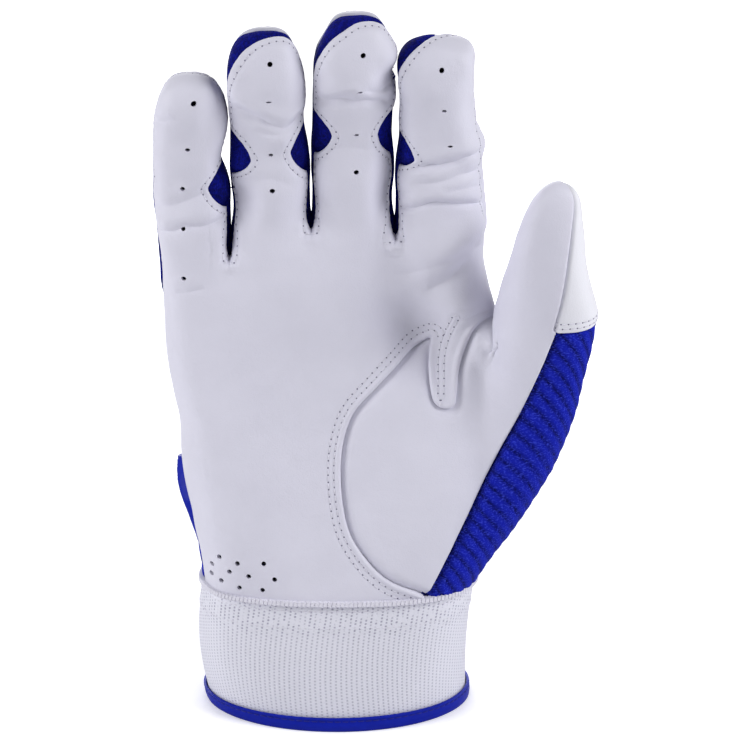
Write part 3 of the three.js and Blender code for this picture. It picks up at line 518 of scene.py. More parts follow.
# Flex notches at the middle joints: finger, side, distance along, how far in, and how far up and down
NOTCHES = (
    (0, 1, 31.5, 5.6, 6.5, 9.5),
    (1, -1, 36.5, 6.2, 9.0, 7.5),
    (1, 1, 38.8, 4.4, 8.0, 9.0),
    (2, -1, 40.5, 5.6, 7.0, 9.0),
    (2, 1, 40.5, 4.4, 7.0, 9.5),
    (3, -1, 36.2, 5.6, 7.0, 5.0),
)

# Punched vents: finger, distance along and across, and how far wear has left them open; then the heel's
FINGER_VENTS = (
    (0, 60.5, 1.8, 1), (0, 45.8, 0, 0.8), (0, 32.1, -2.2, 1), (0, 18.4, -2.7, 0.9), (0, 2, -3, 0.9),
    (1, 69.3, 1.4, 1), (1, 57.8, 0.8, 0.45), (1, 39, 1, 0.7), (1, 27.4, 1.1, 1),
    (2, 68.2, 2.8, 1), (2, 57, 1.8, 0.5), (2, 41.5, 1, 0.5), (2, 29.2, 0.9, 1),
    (3, 66.5, 1.7, 1), (3, 53.9, 2.2, 0.6), (3, 41.7, 3.7, 0.5),
)
HEEL_VENTS = ((-47.6, 53.9), (-42, 52.8), (-34, 53.2), (-44.5, 49.7), (-38.6, 49), (-30.7, 48.3),
              (-50.4, 46.9), (-47.2, 45.9), (-41.5, 44.8), (-34.4, 44.8), (-50.1, 50.4))
VENT_RADIUS = 0.75
# How far in front of a finger's middle, and how far before the palm's, leather counts as the front
FINGER_FRONT = 3
PALM_FRONT_Y = -5
WELL_INSIDE = 9.0
NO_EDGE = 50.0


def vent_field(p):
    """How far a place lies off the rim of the nearest vent."""
    m = finger_measure(p)
    field = np.full(len(p), WELL_INSIDE)
    for slot, along, across, opened in FINGER_VENTS:
        off = np.hypot((m.along - along) / opened, m.across - across) - VENT_RADIUS
        field = np.where((m.slot == slot) & (m.front > FINGER_FRONT), np.minimum(field, off), field)
    for x, z in HEEL_VENTS:
        off = np.hypot(p[:, 0] - x, p[:, 2] - z) - VENT_RADIUS
        field = np.where(p[:, 1] < PALM_FRONT_Y, np.minimum(field, off), field)
    return field


def outer_side(m):
    """True on the pinky's outer side and on the side of the index finger towards the thumb."""
    return (m.slot == PINKY) & (m.across < 0) | (m.slot == INDEX) & (m.across > 0)


def finger_edges(m):
    """How far a place lies inside the leather of the finger fronts, and inside that of the backs."""
    to_tip = smoothstep(m.joint, m.length - 6, m.along)
    tip_edge = of_fingers("tip_edge")[m.slot]
    turn = np.radians(of_fingers("turn"))[m.slot] * smoothstep(m.joint + 4, m.length, m.along)
    level = m.front * np.cos(turn) + m.across * np.sin(turn)
    outer = outer_side(m)
    pinky = m.slot == PINKY
    rise = np.where(pinky, smoothstep(*PINKY_RISE, m.along), smoothstep(*INDEX_RISE, m.along))
    edge = lerp(CROTCH_EDGE, GUSSET_HALF_BASE, smoothstep(2, 22, m.along))
    side_edge = np.where(pinky, OUTER_GUSSET_EDGE, GUSSET_HALF_BASE)
    edge = np.where(outer, lerp(SIDE_EDGE, side_edge, rise), edge)
    rear = np.where(outer, lerp(SIDE_EDGE, -GUSSET_HALF_BASE, rise), -GUSSET_HALF_BASE)
    edge = lerp(edge, tip_edge, to_tip)
    width = GUSSET_TIP_WIDTH + GUSSET_TIP_WIDENING * (1 - smoothstep(-9, 1, m.across)) * (m.slot > PINKY)
    rear = lerp(rear, tip_edge - width, to_tip)
    return level - edge, rear - level


def notch_field(m):
    """How far a place lies outside the flex notches."""
    field = np.full(len(m.along), NO_EDGE)
    for slot, side, place, reach, up, down in NOTCHES:
        off = (m.along - place) / np.where(m.along > place, up, down)
        depth = reach * (1 - np.abs(off) ** 1.5)
        inside = FINGERS[slot].width / 2 - depth - side * m.across
        here = (m.slot == slot) & (np.abs(off) < 1.6) & (m.front > -1)
        field = np.where(here, np.minimum(field, inside * 0.85), field)
    return field


# Slits that part the finger fronts: boundary between two fingers, height of the lower end, half of the width,
# and how far the leather below the end stands forward
SLITS = ((1, 144.0, 0.75, 3.4), (2, 152.0, 0.6, 3.2), (3, 149.8, 0.6, 1.6))


def slit_field(p):
    """How far a place lies outside the slits between the finger fronts, which end square."""
    field = np.full(len(p), NO_EDGE)
    for boundary, low, half, _ in SLITS:
        narrowing = (half + 2) * smoothstep(low + 8, low + 18, p[:, 2])
        beside = np.abs(p[:, 0] - SLOTS[boundary]) - half + narrowing
        below = low - p[:, 2]
        outside = np.hypot(np.maximum(beside, 0), np.maximum(below, 0))
        field = np.minimum(field, np.where(outside > 0, outside, np.maximum(beside, below)))
    return field


def side_field(p):
    """How far a place of the hand lies in front of the side seam and off the mesh."""
    heights, depths = [h for _, h in SIDE_SEAM], [y for y, _ in SIDE_SEAM]
    seam = np.interp(p[:, 2] - CUFF_HEIGHT, heights, depths)
    return np.minimum(seam - p[:, 1], line_distance(p, mesh_seam))


def front_field(p):
    """Positive on the leather of the palm, the thumb ball and the finger fronts."""
    m = finger_measure(p)
    front, _ = finger_edges(m)
    front = np.min([front, notch_field(m), slit_field(p)], axis=0)
    begins = np.where(m.slot == PINKY, PINKY_RISE[0], INDEX_RISE[0])
    on_finger = m.along > np.where(outer_side(m), begins, CROTCH_START)
    return np.where(on_finger, front, side_field(p))


def back_field(p):
    return finger_edges(finger_measure(p))[1]


def thumb_side(p):
    """How far a place lies on the thumb's side of the seam round the thumb ball."""
    return region_distance(p, thumb_seam, ((FAR, 0), (FAR, FAR)))


def seam_strength(p):
    """The seam round the thumb ball runs out in the crotch of the thumb."""
    return 1 - smoothstep(*SEAM_END, p[:, 0])


def thumb_along(p):
    return (p - thumb_start) @ thumb_axis


def cover_hem(p):
    """How far a place lies above the hem of the thumb's cover."""
    return (p - thumb_point(COVER_HEM)) @ COVER_HEM_FACING


# The side of the thumb where its hem is level, and where the seam round its ball runs out, as X
THUMB_OUTER = 48.0
SEAM_END = (29, 34)


def thumb_front(p):
    """Positive on the leather face of the thumb and, below it, on the thumb ball."""
    face = (p - thumb_face_place) @ thumb_face
    above = np.where(p[:, 0] > THUMB_OUTER, smoothstep(-1, 1, cover_hem(p)), thumb_along(p) > 0)
    return lerp(side_field(p), face, above)


def start_of_finger(p):
    m = finger_measure(p)
    return m.along - of_fingers("start")[m.slot]


def middle_of_finger(p):
    m = finger_measure(p)
    return m.along - of_fingers("middle")[m.slot]


def back_edge(p):
    """How far a place lies inside the edge of the finger backs, at the sides and at the knuckle."""
    return np.minimum(back_field(p), start_of_finger(p))


def in_slot(i):
    """Positive between a finger's neighbours."""
    low = FINGERS[i].left if i > PINKY else -FAR
    high = FINGERS[i].right if i < INDEX else INDEX_LIMIT
    return lambda p: np.minimum(p[:, 0] - low, high - p[:, 0])


# Softness: swellings, folds and creases that wear has pressed into the leather

# Swellings of a finger: finger, distance along, length, side (0 for the front) and height
SWELLINGS = (
    (0, 57, 8, 0, 0.9), (0, 41, 6, 0, 0.6), (0, 10, 8, 0, 0.7), (0, 31, 5, 0, -0.5),
    (0, 60, 7, -1, -0.7), (0, 53, 8, 1, 1.5), (0, 39, 6, 1, -1.6), (0, 22, 16, -1, 1.0),
    (1, 62, 7, 0, 1.0), (1, 28, 6, 0, 1.0), (1, 38, 5, 0, -0.7), (1, 62, 12, -1, 1.5), (1, 18, 7, -1, -0.8),
    (1, 47, 6, 1, -0.7), (1, 68, 6, 1, -0.5),
    (2, 63, 8, 0, 1.1), (2, 26, 7, 0, 0.7), (2, 41, 5, 0, -0.8), (2, 70, 6, -1, -1.3), (2, 16, 7, 1, -0.7),
    (2, 65, 3.2, 1, 1.0), (2, 59, 2.6, 1, -1.0), (2, 51, 4, 1, 0.6), (2, 36, 8, 1, -0.9),
    (3, 60, 8, 0, 0.8), (3, 28, 5, 0, 0.9), (3, 8, 6, 0, 0.8), (3, 37.5, 4, 1, 1.8), (3, 53, 6, 1, -0.9),
    (3, 67, 4, 1, 1.3), (3, 20, 12, 1, 1.0), (3, 66, 5, -1, 1.0), (3, 53, 7, -1, -0.9), (3, 38, 8, -1, -1.0),
)
# Dents and bulges on the front of a finger: finger, distance along and across, length, width and height
DENTS = (
    (1, 24, -7.5, 7, 4.5, -3.6), (1, 22, 1, 6, 6, 0.8), (1, 44, -6, 5, 4, -1.0), (1, 45, 5, 5, 4, 0.8),
    (2, 22, 9.5, 10, 3.5, -3.6), (2, 57, 9, 7, 4, -3.0), (2, 48, 5, 4, 6, -0.8), (2, 60, -3, 5, 6, 0.7),
    (0, 58, 9, 9, 4, -2.8), (0, 24, 4, 5, 5, 0.6), (0, 14, -6, 5, 5, 0.5),
    (3, 46, 7, 8, 5, 1.1), (3, 48, -4, 8, 5, -0.8), (3, 27, 6, 4, 6, 1.0), (3, 13, -6, 6, 6, -0.9),
    (3, 10, 7, 7, 5, 1.0),
)
# Folds across a finger: finger, places as across and along, depth and width
FOLDS = (
    (0, ((-11, 15.5), (-6, 17.5), (-1, 19.4), (8, 20.2)), 0.8, 1.4),
    (0, ((-11, 24), (-4, 26.5), (2.3, 29.4), (5, 30)), 0.6, 1.8),
    (0, ((-10, 52.5), (-7, 54.2), (-4, 55.2)), 0.4, 1.2),
    (1, ((-8, 53.6), (-4, 52.3), (0, 50.5), (4, 48.6), (7, 48.4), (10, 50)), 1.2, 1.7),
    (1, ((-2, 47), (2, 46.2), (6, 46.4)), 0.5, 1.2),
    (1, ((-8, 29), (0, 31), (6, 29)), 0.4, 2.0),
    (2, ((-9, 52.2), (-5, 53.4), (-1.6, 53.9), (3, 53), (6.3, 51.9), (10, 50.5)), 1.2, 1.6),
    (2, ((4, 57), (7, 55.5), (10, 55.5)), 0.8, 1.4),
    (2, ((-8, 36), (0, 37), (8, 36)), 0.35, 1.8),
    (3, ((-10, 18.2), (-6, 20.6), (-1, 22.3), (5, 21.8), (12, 19.7)), 1.1, 1.2),
    (3, ((-7, 33.2), (-3, 34.2), (2.6, 35.5), (8, 36.6), (12, 37.6)), 1.2, 1.5),
    (3, ((-6, 28.5), (0, 29.4), (6, 31.5), (12, 31)), 0.7, 1.4),
    (3, ((3, 26.5), (7, 27), (12, 25.5)), 0.5, 1.2),
)
# Hollows and mounds of the palm: X, Z, radius, height
MOUNDS = ((9.5, 124, 11.5, -10.5), (4, 142, 11, -3.2), (18, 117, 9, -3.6), (27, 131, 7, 2.4),
          (17, 151, 8, 1.6), (-25, 134, 13, 0.6), (-52, 118, 12, 0.5), (-30, 92, 22, -0.8))
# Creases of the palm: places as X and Z, depth and width
CREASES = (
    (((24, 129), (30, 131.5)), 0.15, 0.7),
    (((24.5, 126), (33, 129)), 0.2, 0.7),
    (((26, 123.4), (33.5, 126)), 0.2, 0.7),
    (((14, 134), (20, 137.7), (25, 141.5), (29, 147), (38, 155)), 1.7, 2.6),
    (((4, 140.5), (12, 141.5), (19, 143.8), (32, 150.6)), 0.5, 1.8),
    (((-62, 134), (-56, 135.6), (-50, 136.6)), 0.35, 1.2),
)
# Where wear has moved the form: X, Z, radius, and the move in X, Y and Z
FORM_MOVES = (
    (-52, 203, 9, (1.6, 0, 0)), (-11, 216, 5, (1.0, 0, -0.8)), (29, 212, 4, (1.2, 0, 0.8)),
    (33, 152, 9, (0.9, 0, 0)), (-60, 93, 9, (1.4, 0, 0)), (-63, 113, 8, (-0.6, 0, 0)),
    (31.5, 209, 3, (0.8, 0, 0.6)),
    (61.5, 169, 5, (1.4, 0, 0.5)), (64, 149, 9, (-1.0, 0, 0)), (66, 131, 5, (0.9, 0, 0)),
    (-43.9, 143, 5, (0, 0, 2.2)), (-19.2, 151, 5, (0, 0, 3.0)), (6.1, 149, 5, (0, 0, 3.0)),
)
# How far the leather beside the slits stands forward, where along the fingers, and how far from their middles
# and from the glove's sides it starts
CROTCH_LIP = 2.4
LIP_STRETCH = ((-9, -3), (12, 26))
LIP_ASIDE = 5
LIP_INSIDE = 8
# The palm's rim closes on the thumb in its crotch: how far, and where, as X and Z
WEB_CLOSE = 2.2
WEB_RIM_X = ((24, 33), (36, 42))
WEB_RIM_Z = ((114, 125), (126, 146))
# The crotch is filled: how far, at what X and Z, and how far round there
WEB_FILL = 4.6
WEB_FILL_X, WEB_FILL_WIDTH = 34.5, 4
WEB_FILL_Z, WEB_FILL_HEIGHT = 119.5, 6
# The thumb swells beside it: how far, and where, as Y, Z and X
THUMB_SWELL = 7.2
SWELL_Y = ((-12, -7.5), (-4, 6))
SWELL_Z = ((114, 120.5), (126, 132))
SWELL_X, SWELL_WIDTH = 37, 3.2
# Unevenness all over, and small puckers along the sewn edges
DRIFT = 0.3
EDGE_PUCKER = 0.14
# Flex grooves over the backs of the middle joints: places along the finger from the joint, depth and width
FLEX_PLACES = (-4.5, 0.0, 4.5)
FLEX_DEPTH = 0.5
FLEX_WIDTH = 0.8


def fold_line(places):
    """A fold's places along a finger, as a function of the place across it."""
    line = smooth_line(places, 24)
    return lambda across: np.interp(across, line[:, 0], line[:, 1])


def pressed(distance, depth, width):
    """A crease, sharp at its bottom, with a soft ridge beside it."""
    valley = np.exp(-((np.abs(distance) / width) ** 1.5))
    return depth * (0.6 * hump(distance - 2.3 * width, 1.6 * width) - valley)


def near_folds(p):
    m = finger_measure(p)
    near = np.zeros(len(p), bool)
    for slot, places, _, width in FOLDS:
        near |= (m.slot == slot) & (np.abs(m.along - fold_line(places)(m.across)) < 2.4 * width)
    for places, _, width in CREASES:
        near |= np.abs(line_distance(p, np.array(places, float))) < 2.2 * width
    return near & (m.front > 1)


def noise_at(points, size):
    return np.array([noise.noise(Vector(p) / size) for p in points])


def press_leather(points, normals, m, facing):
    """How far the leather has swollen, folded and creased along its normal."""
    frontness = smoothstep(0.05, 0.6, facing)
    on_finger = smoothstep(-3, 5, m.along)
    move = np.zeros(len(points))
    for slot, place, length, side, height in SWELLINGS:
        weight = frontness if side == 0 else smoothstep(0.2, 0.9, side * normals[:, 0])
        move += np.where(m.slot == slot, hump(m.along - place, length) * weight * height * on_finger, 0)
    wander = noise_at(points, 4.0)
    for slot, places, depth, width in FOLDS:
        first, last = places[0][0], places[-1][0]
        fade = plateau(m.across, (first - 3, first + 1.5), (last - 1.5, last + 3))
        bend = pressed(m.along - fold_line(places)(m.across) + 0.7 * wander, depth, width)
        move += np.where(m.slot == slot, bend * fade * frontness, 0)
    for x, z, radius, height in MOUNDS:
        move += frontness * height * hump(np.hypot(points[:, 0] - x, points[:, 2] - z), radius)
    for places, depth, width in CREASES:
        crease = line_distance(points, smooth_line(places, 16)) + 0.5 * wander
        fade = 1.0
        for near, far in (places[:2], places[:-3:-1]):
            way = np.subtract(far, near) / math.dist(far, near)
            fade = fade * smoothstep(0, 2.5 * width, (points[:, [0, 2]] - near) @ way)
        move += frontness * pressed(crease, depth, width) * fade
    drift = noise_at(points, 14.0) + 0.5 * noise_at(points, 6.0)
    move += DRIFT * drift * smoothstep(CUFF_HEIGHT, CUFF_HEIGHT + 8, points[:, 2])
    pucker = EDGE_PUCKER * noise_at(points, 1.3)
    return move + pucker * hump(front_field(points) - 0.9, 1.4) * on_finger


def close_crotches(points, m):
    """How far the leather comes forward in the crotches of the fingers and the thumb, and closes there."""
    x, y, z = points.T
    lip = plateau(m.along, *LIP_STRETCH) * (m.front > 0) * (np.abs(m.across) > LIP_ASIDE)
    lip *= (x > SLOTS[0] + LIP_INSIDE) & (x < SLOTS[-1] - LIP_INSIDE)
    for boundary, low, _, _ in SLITS:
        lip *= 1 - 0.7 * hump(x - SLOTS[boundary], 5) * (1 - smoothstep(low - 1.5, low + 2.5, z))
    forward = CROTCH_LIP * hump(front_field(points) - 0.6, 3.0) * lip
    for boundary, low, _, rise in SLITS:
        under_slit = plateau(z, (low - 5, low - 0.5), (low + 1, low + 7)) * smoothstep(0, 4, m.front)
        forward += rise * under_slit * hump(x - SLOTS[boundary], 1.5)
    fill = smoothstep(-17, -12, y) * (1 - 0.7 * smoothstep(-4, 4, y))
    forward += WEB_FILL * fill * hump(x - WEB_FILL_X, WEB_FILL_WIDTH) * hump(z - WEB_FILL_Z, WEB_FILL_HEIGHT)
    ball = smoothstep(0, 3.5, thumb_side(points)) * plateau(y, *SWELL_Y) * plateau(z, *SWELL_Z)
    forward += THUMB_SWELL * ball * hump(x - SWELL_X, SWELL_WIDTH)
    rim = smoothstep(-11, -6, y) * plateau(x, *WEB_RIM_X) * plateau(z, *WEB_RIM_Z)
    return np.stack([WEB_CLOSE * rim, -forward, np.zeros(len(points))], axis=1)


def soften(points, normals):
    m = finger_measure(points)
    lean = LEAN_BASE + (LEAN_TIP - LEAN_BASE) * np.clip(m.along / m.length, 0, 1)
    front = np.stack([np.zeros(len(points)), -np.cos(lean), -np.sin(lean)], axis=1)
    facing = np.sum(normals * front, axis=1)
    soft = points + normals * press_leather(points, normals, m, facing)[:, None]
    for slot, along, across, length, width, height in DENTS:
        bump = height * hump(m.along - along, length) * hump(m.across - across, width)
        bump = bump * smoothstep(0, 0.45, facing) * smoothstep(-3, 5, m.along)
        soft += np.where(m.slot == slot, bump, 0)[:, None] * front
    for x, z, radius, step in FORM_MOVES:
        soft += hump(np.hypot(points[:, 0] - x, points[:, 2] - z), radius)[:, None] * step
    return soft + close_crotches(points, m)


def on_mesh(p):
    return (side_field(p) < 1) & (thumb_along(p) < 3) & (finger_measure(p).along < 3)


def near_edges(p):
    m = finger_measure(p)
    flex = np.min([np.abs(m.along - m.joint - d) for d in FLEX_PLACES], axis=0)
    edge = np.minimum(np.abs(front_field(p) - 1), np.abs(back_edge(p) - 1))
    return (edge < 1.6) & (m.along > CROTCH_START) | (flex < 2.2 * FLEX_WIDTH) & (m.front < -2)


def near_seam(p):
    beside = (np.abs(thumb_side(p) + 2.9) < 1.8) | (np.abs(line_distance(p, tongue_middle)) < 1.8)
    return beside & (p[:, 1] < -4) & (p[:, 2] < tongue_middle[0][1] + 4)


def near_vents(reach):
    return lambda p: vent_field(p) < reach


rest_points, skin_faces = smooth_skin()
for near in (on_mesh, near_folds, near_edges, near_seam, near_vents(1.2), near_vents(0.6)):
    rest_points, skin_faces = refine(rest_points, skin_faces, near(rest_points))
soft_points = soften(rest_points, point_normals(rest_points, skin_faces))
skin = np.hstack([rest_points, soft_points, point_normals(soft_points, skin_faces)])

# Patches: data columns are the place at rest, the softened place and the normal

SNAP = 0.03
# Angles up to which the edges of panels, strips, threads and plates are smooth, in degrees
PANEL_SMOOTH = 48
BAND_SMOOTH = 50
THREAD_SMOOTH = 60
PLATE_SMOOTH = 40


def compact(data, faces):
    used = sorted({i for face in faces for i in face})
    new = {old: i for i, old in enumerate(used)}
    return SimpleNamespace(data=data[used], faces=[[new[i] for i in face] for face in faces])


def cut(patch, field, both=False):
    """Cuts a patch along a field's zero line and keeps the positive side, or both."""
    data = patch.data
    values = field(data[:, :3])
    values = np.where(np.abs(values) < SNAP, 0.0, values).tolist()
    made = {}
    extra = []
    kept = []

    def crossing(a, b):
        low, high = edge_key(a, b)
        if (low, high) not in made:
            share = values[low] / (values[low] - values[high])
            extra.append(data[low] + share * (data[high] - data[low]))
            made[low, high] = len(data) + len(extra) - 1
        return made[low, high]

    for face in patch.faces:
        here = [values[i] for i in face]
        if min(here) >= 0:
            kept.append(face)
            continue
        if max(here) <= 0:
            if both:
                kept.append(face)
            continue
        for sign in (1, -1) if both else (1,):
            ring = []
            for a, b in sides(face):
                if sign * values[a] >= 0:
                    ring.append(a)
                if values[a] * values[b] < 0:
                    ring.append(crossing(a, b))
            if len(ring) > 2:
                kept.append(ring)
    return compact(np.vstack([data] + extra) if extra else data, kept)


def skin_patch(*fields):
    """The part of the skin where all the fields are positive."""
    values = np.min([field(skin[:, :3]) for field in fields], axis=0)
    near = (values > -3).tolist()
    patch = compact(skin, [face for face in skin_faces if any(near[i] for i in face)])
    for field in fields:
        patch = cut(patch, field)
    return patch


def main_part(patch):
    """The largest connected part of a patch, without slivers that a cut has left."""
    ends = np.array([side for face in patch.faces for side in sides(face)])
    label = np.arange(len(patch.data))
    while True:
        least = np.minimum(label[ends[:, 0]], label[ends[:, 1]])
        before = label.copy()
        np.minimum.at(label, ends[:, 0], least)
        np.minimum.at(label, ends[:, 1], least)
        label = label[label]
        if np.array_equal(label, before):
            break
    main = np.argmax(np.bincount(label))
    return compact(patch.data, [face for face in patch.faces if label[face[0]] == main])


def rim_edges(faces):
    count = {}
    for face in faces:
        for a, b in sides(face):
            key = edge_key(a, b)
            count[key] = None if key in count else (a, b)
    return [edge for edge in count.values() if edge]


def raise_patch(patch, lift):
    """Moves a patch's surface off the skin; lift is a distance for each point."""
    patch.surface = patch.data[:, 3:6] + patch.data[:, 6:9] * np.reshape(lift, (-1, 1))
    return patch


def walled(name, patch, wall):
    """A closed piece: the patch's surface, its inner side and the rim between them."""
    count = len(patch.surface)
    inner = patch.surface - patch.data[:, 6:9] * np.reshape(wall, (-1, 1))
    faces = patch.faces + [[i + count for i in reversed(face)] for face in patch.faces]
    faces += [[b, a, a + count, b + count] for a, b in rim_edges(patch.faces)]
    return mesh_object(name, np.vstack([patch.surface, inner]), faces, PANEL_SMOOTH)


def level_lines(patch, field):
    """The zero lines of a field on a patch's surface, as lists of points and normals."""
    values = field(patch.data[:, :3])
    ends = {}
    for face in patch.faces:
        crossed = [edge_key(a, b) for a, b in sides(face) if values[a] * values[b] < 0]
        if len(crossed) == 2:
            ends.setdefault(crossed[0], []).append(crossed[1])
            ends.setdefault(crossed[1], []).append(crossed[0])
    lines = []
    left = set(ends)
    for start in sorted(ends, key=lambda e: (len(ends[e]), e)):
        if start not in left:
            continue
        line = [start]
        left.discard(start)
        while True:
            step = [e for e in ends[line[-1]] if e in left]
            if not step:
                break
            line.append(step[0])
            left.discard(step[0])
        if start in ends[line[-1]] and len(line) > 2:
            line.append(start)
        low, high = np.array(line).T
        share = (values[low] / (values[low] - values[high]))[:, None]
        points = lerp(patch.surface[low], patch.surface[high], share)
        normals = lerp(patch.data[low, 6:9], patch.data[high, 6:9], share)
        lines.append((points, normals))
    return lines


# Stitches: short lengths of thread, sunk at both ends

STITCH_PITCH = 2.2
STITCH_LENGTH = 1.75
THREAD_RADIUS = 0.19
STITCH_SIDES = 6
STITCH_RINGS = ((-0.5, 0.5, -0.9), (-0.3, 1.0, 0.1), (0.3, 1.0, 0.1), (0.5, 0.5, -0.9))
HOLE_RADIUS = 0.27
HOLE_RAISE = 0.05


def run_along(line):
    """Distances along a line from its first point."""
    return np.concatenate([[0], np.cumsum(np.linalg.norm(np.diff(line, axis=0), axis=1))])


def row_places(line, normals, pitch, offset=0.5):
    """Evenly parted places along a line, with the directions along it and off the surface."""
    run = run_along(line)
    count = int(run[-1] / pitch)
    places = []
    for k in range(count):
        distance = (k + offset) * run[-1] / count
        here, ahead, behind = (np.array([np.interp(distance + d, run, line[:, i]) for i in range(3)])
                               for d in (0, pitch / 3, -pitch / 3))
        up = unit(np.array([np.interp(distance, run, normals[:, i]) for i in range(3)]))
        along = ahead - behind
        places.append((here, unit(along - up * (along @ up)), up))
    return places


def circle(centre, radius, first, second):
    """Points round a centre, in the plane of two directions."""
    angles = [2 * math.pi * k / STITCH_SIDES for k in range(STITCH_SIDES)]
    return [centre + radius * (first * math.cos(angle) + second * math.sin(angle)) for angle in angles]


def stitch_mesh(name, places, length=STITCH_LENGTH, radius=THREAD_RADIUS):
    points = []
    faces = []
    for here, along, up in places:
        side = np.cross(up, along)
        first = len(points)
        for share, size, sink in STITCH_RINGS:
            centre = here + along * share * length + up * radius * sink
            points += circle(centre, radius * size, side, up)
        n = STITCH_SIDES
        for r in range(len(STITCH_RINGS) - 1):
            for k in range(n):
                a, b = first + r * n + k, first + r * n + (k + 1) % n
                faces.append([b, a, a + n, b + n])
        faces.append([first + k for k in range(n)])
        faces.append([first + (len(STITCH_RINGS) - 1) * n + k for k in reversed(range(n))])
    return mesh_object(name, points, faces, THREAD_SMOOTH)


def hole_shadow_mesh(name, places):
    """Painted shadows of the needle holes: small dark dots lying on the surface, one between each stitch and
    the next.
    """
    points = []
    faces = []
    for here, along, up in places:
        side = np.cross(up, along)
        centre = here + up * HOLE_RAISE
        first = len(points)
        points += circle(centre, HOLE_RADIUS, along, side)
        points.append(centre - up * HOLE_RADIUS)
        tip = first + STITCH_SIDES
        ring = list(range(first, tip))
        faces.append(ring)
        faces += [[b, a, tip] for a, b in sides(ring)]
    return mesh_object(name, points, faces)


# Materials


def linear(hex_colour):
    """An sRGB hex colour as linear red, green, blue and alpha."""
    parts = [int(hex_colour[i:i + 2], 16) / 255 for i in (0, 2, 4)]
    return [c / 12.92 if c <= 0.04045 else ((c + 0.055) / 1.055) ** 2.4 for c in parts] + [1.0]


def add(tree, kind, sockets=None, **settings):
    """Adds a shader node with its settings; its sockets take values, other nodes or outputs of nodes."""
    made = tree.nodes.new("ShaderNode" + kind)
    for name, value in settings.items():
        setattr(made, name, value)
    for name, value in (sockets or {}).items():
        if isinstance(value, bpy.types.Node):
            value = next(output for output in value.outputs if output.enabled)
        if isinstance(value, bpy.types.NodeSocket):
            tree.links.new(value, made.inputs[name])
        else:
            made.inputs[name].default_value = value
    return made


def new_material(name):
    material = bpy.data.materials.new(name)
    material.use_nodes = True
    material.node_tree.nodes.clear()
    return material, material.node_tree


def shade(material, colour, rough, height, depth, shine=0.5):
    """Gives a material its colour, its roughness, the relief of its surface in millimetres and its gloss."""
    tree = material.node_tree
    bump = add(tree, "Bump", {"Height": height, "Distance": depth * MM, "Strength": 1.0})
    shader = add(tree, "BsdfPrincipled", {"Base Color": colour, "Roughness": rough, "Normal": bump,
                                          "Specular IOR Level": shine})
    add(tree, "OutputMaterial", {"Surface": shader})
    return material


def set_tones(ramp, *tones):
    for element, (position, tone) in zip(ramp.color_ramp.elements, tones):
        element.position = position
        element.color = linear(tone)


def per_mm(size):
    """The scale of a pattern on Object coordinates whose features are so many millimetres apart."""
    return 1 / (size * MM)


# The colour sockets of a Mix node
MIX_A, MIX_B = 6, 7


def leather(name, pale, deep):
    """Smooth tanned leather: satin, with a fine grain, soft wrinkles and slightly uneven colour."""
    material, tree = new_material(name)
    place = add(tree, "TexCoord").outputs["Object"]
    cloud = add(tree, "TexNoise", {"Vector": place, "Scale": per_mm(16), "Detail": 4.0})
    colour = add(tree, "ValToRGB", {"Fac": cloud})
    set_tones(colour, (0.3, deep), (0.7, pale))
    pores = add(tree, "TexVoronoi", {"Vector": place, "Scale": per_mm(0.7)}, feature="DISTANCE_TO_EDGE")
    wrinkle = add(tree, "TexNoise", {"Vector": place, "Scale": per_mm(3.5), "Detail": 6.0, "Roughness": 0.6})
    height = add(tree, "Math", {0: pores, 1: 0.35, 2: wrinkle}, operation="MULTIPLY_ADD")
    rough = add(tree, "MapRange", {"Value": wrinkle, "To Min": 0.46, "To Max": 0.62})
    return shade(material, colour, rough, height, 0.16, 0.4)


def stretch_knit(name, pale, deep):
    """Fine warp knit of dyed nylon: matt, with rows of small loops and lighter flecks of yarn."""
    material, tree = new_material(name)
    place = add(tree, "TexCoord").outputs["Object"]
    fleck = add(tree, "TexNoise", {"Vector": place, "Scale": per_mm(0.8), "Detail": 3.0, "Roughness": 0.7})
    cloud = add(tree, "TexNoise", {"Vector": place, "Scale": per_mm(6), "Detail": 2.0})
    mixed = add(tree, "Math", {0: cloud, 1: 0.35, 2: fleck}, operation="MULTIPLY_ADD")
    colour = add(tree, "ValToRGB", {"Fac": mixed})
    set_tones(colour, (0.55, deep), (0.95, pale))
    loops = add(tree, "TexVoronoi", {"Vector": place, "Scale": per_mm(0.55), "Randomness": 0.5})
    rough = add(tree, "MapRange", {"Value": fleck, "To Min": 0.75, "To Max": 0.95})
    height = add(tree, "Math", {0: 1.0, 1: loops}, operation="SUBTRACT")
    return shade(material, colour, rough, height, 0.25, 0.08)


def ribbed_mesh(name, ridge, groove_shade, fleck):
    """Spacer mesh of melange nylon: raised ribs, painted shade in the grooves between them and under the
    leather's edges, and pale flecks along the yarn.
    """
    material, tree = new_material(name)
    place = add(tree, "TexCoord").outputs["Object"]
    rib = add(tree, "Attribute", attribute_name="rib").outputs["Fac"]
    turned = add(tree, "Mapping", {"Vector": place, "Rotation": (0, RIB_SLOPE, 0), "Scale": (0.45, 1, 1)})
    yarn = add(tree, "TexNoise", {"Vector": turned, "Scale": per_mm(0.4), "Detail": 1.0})
    loops = add(tree, "TexVoronoi", {"Vector": place, "Scale": per_mm(0.7), "Randomness": 0.7})
    # Painted shade: the rib attribute turns the colour to the dark groove tone in the grooves and under the
    # leather's edges
    base = add(tree, "Mix", {"Factor": rib, MIX_A: linear(groove_shade), MIX_B: linear(ridge)}, data_type="RGBA")
    spots = add(tree, "MapRange", {"Value": yarn, "From Min": 0.5, "From Max": 0.75, "To Max": 0.7})
    flecked = add(tree, "Mix", {"Factor": spots, MIX_A: base, MIX_B: linear(fleck)}, data_type="RGBA")
    rough = add(tree, "MapRange", {"Value": yarn, "To Min": 0.7, "To Max": 0.95})
    height = add(tree, "Math", {0: 1.0, 1: loops}, operation="SUBTRACT")
    return shade(material, flecked, rough, height, 0.2, 0.05)


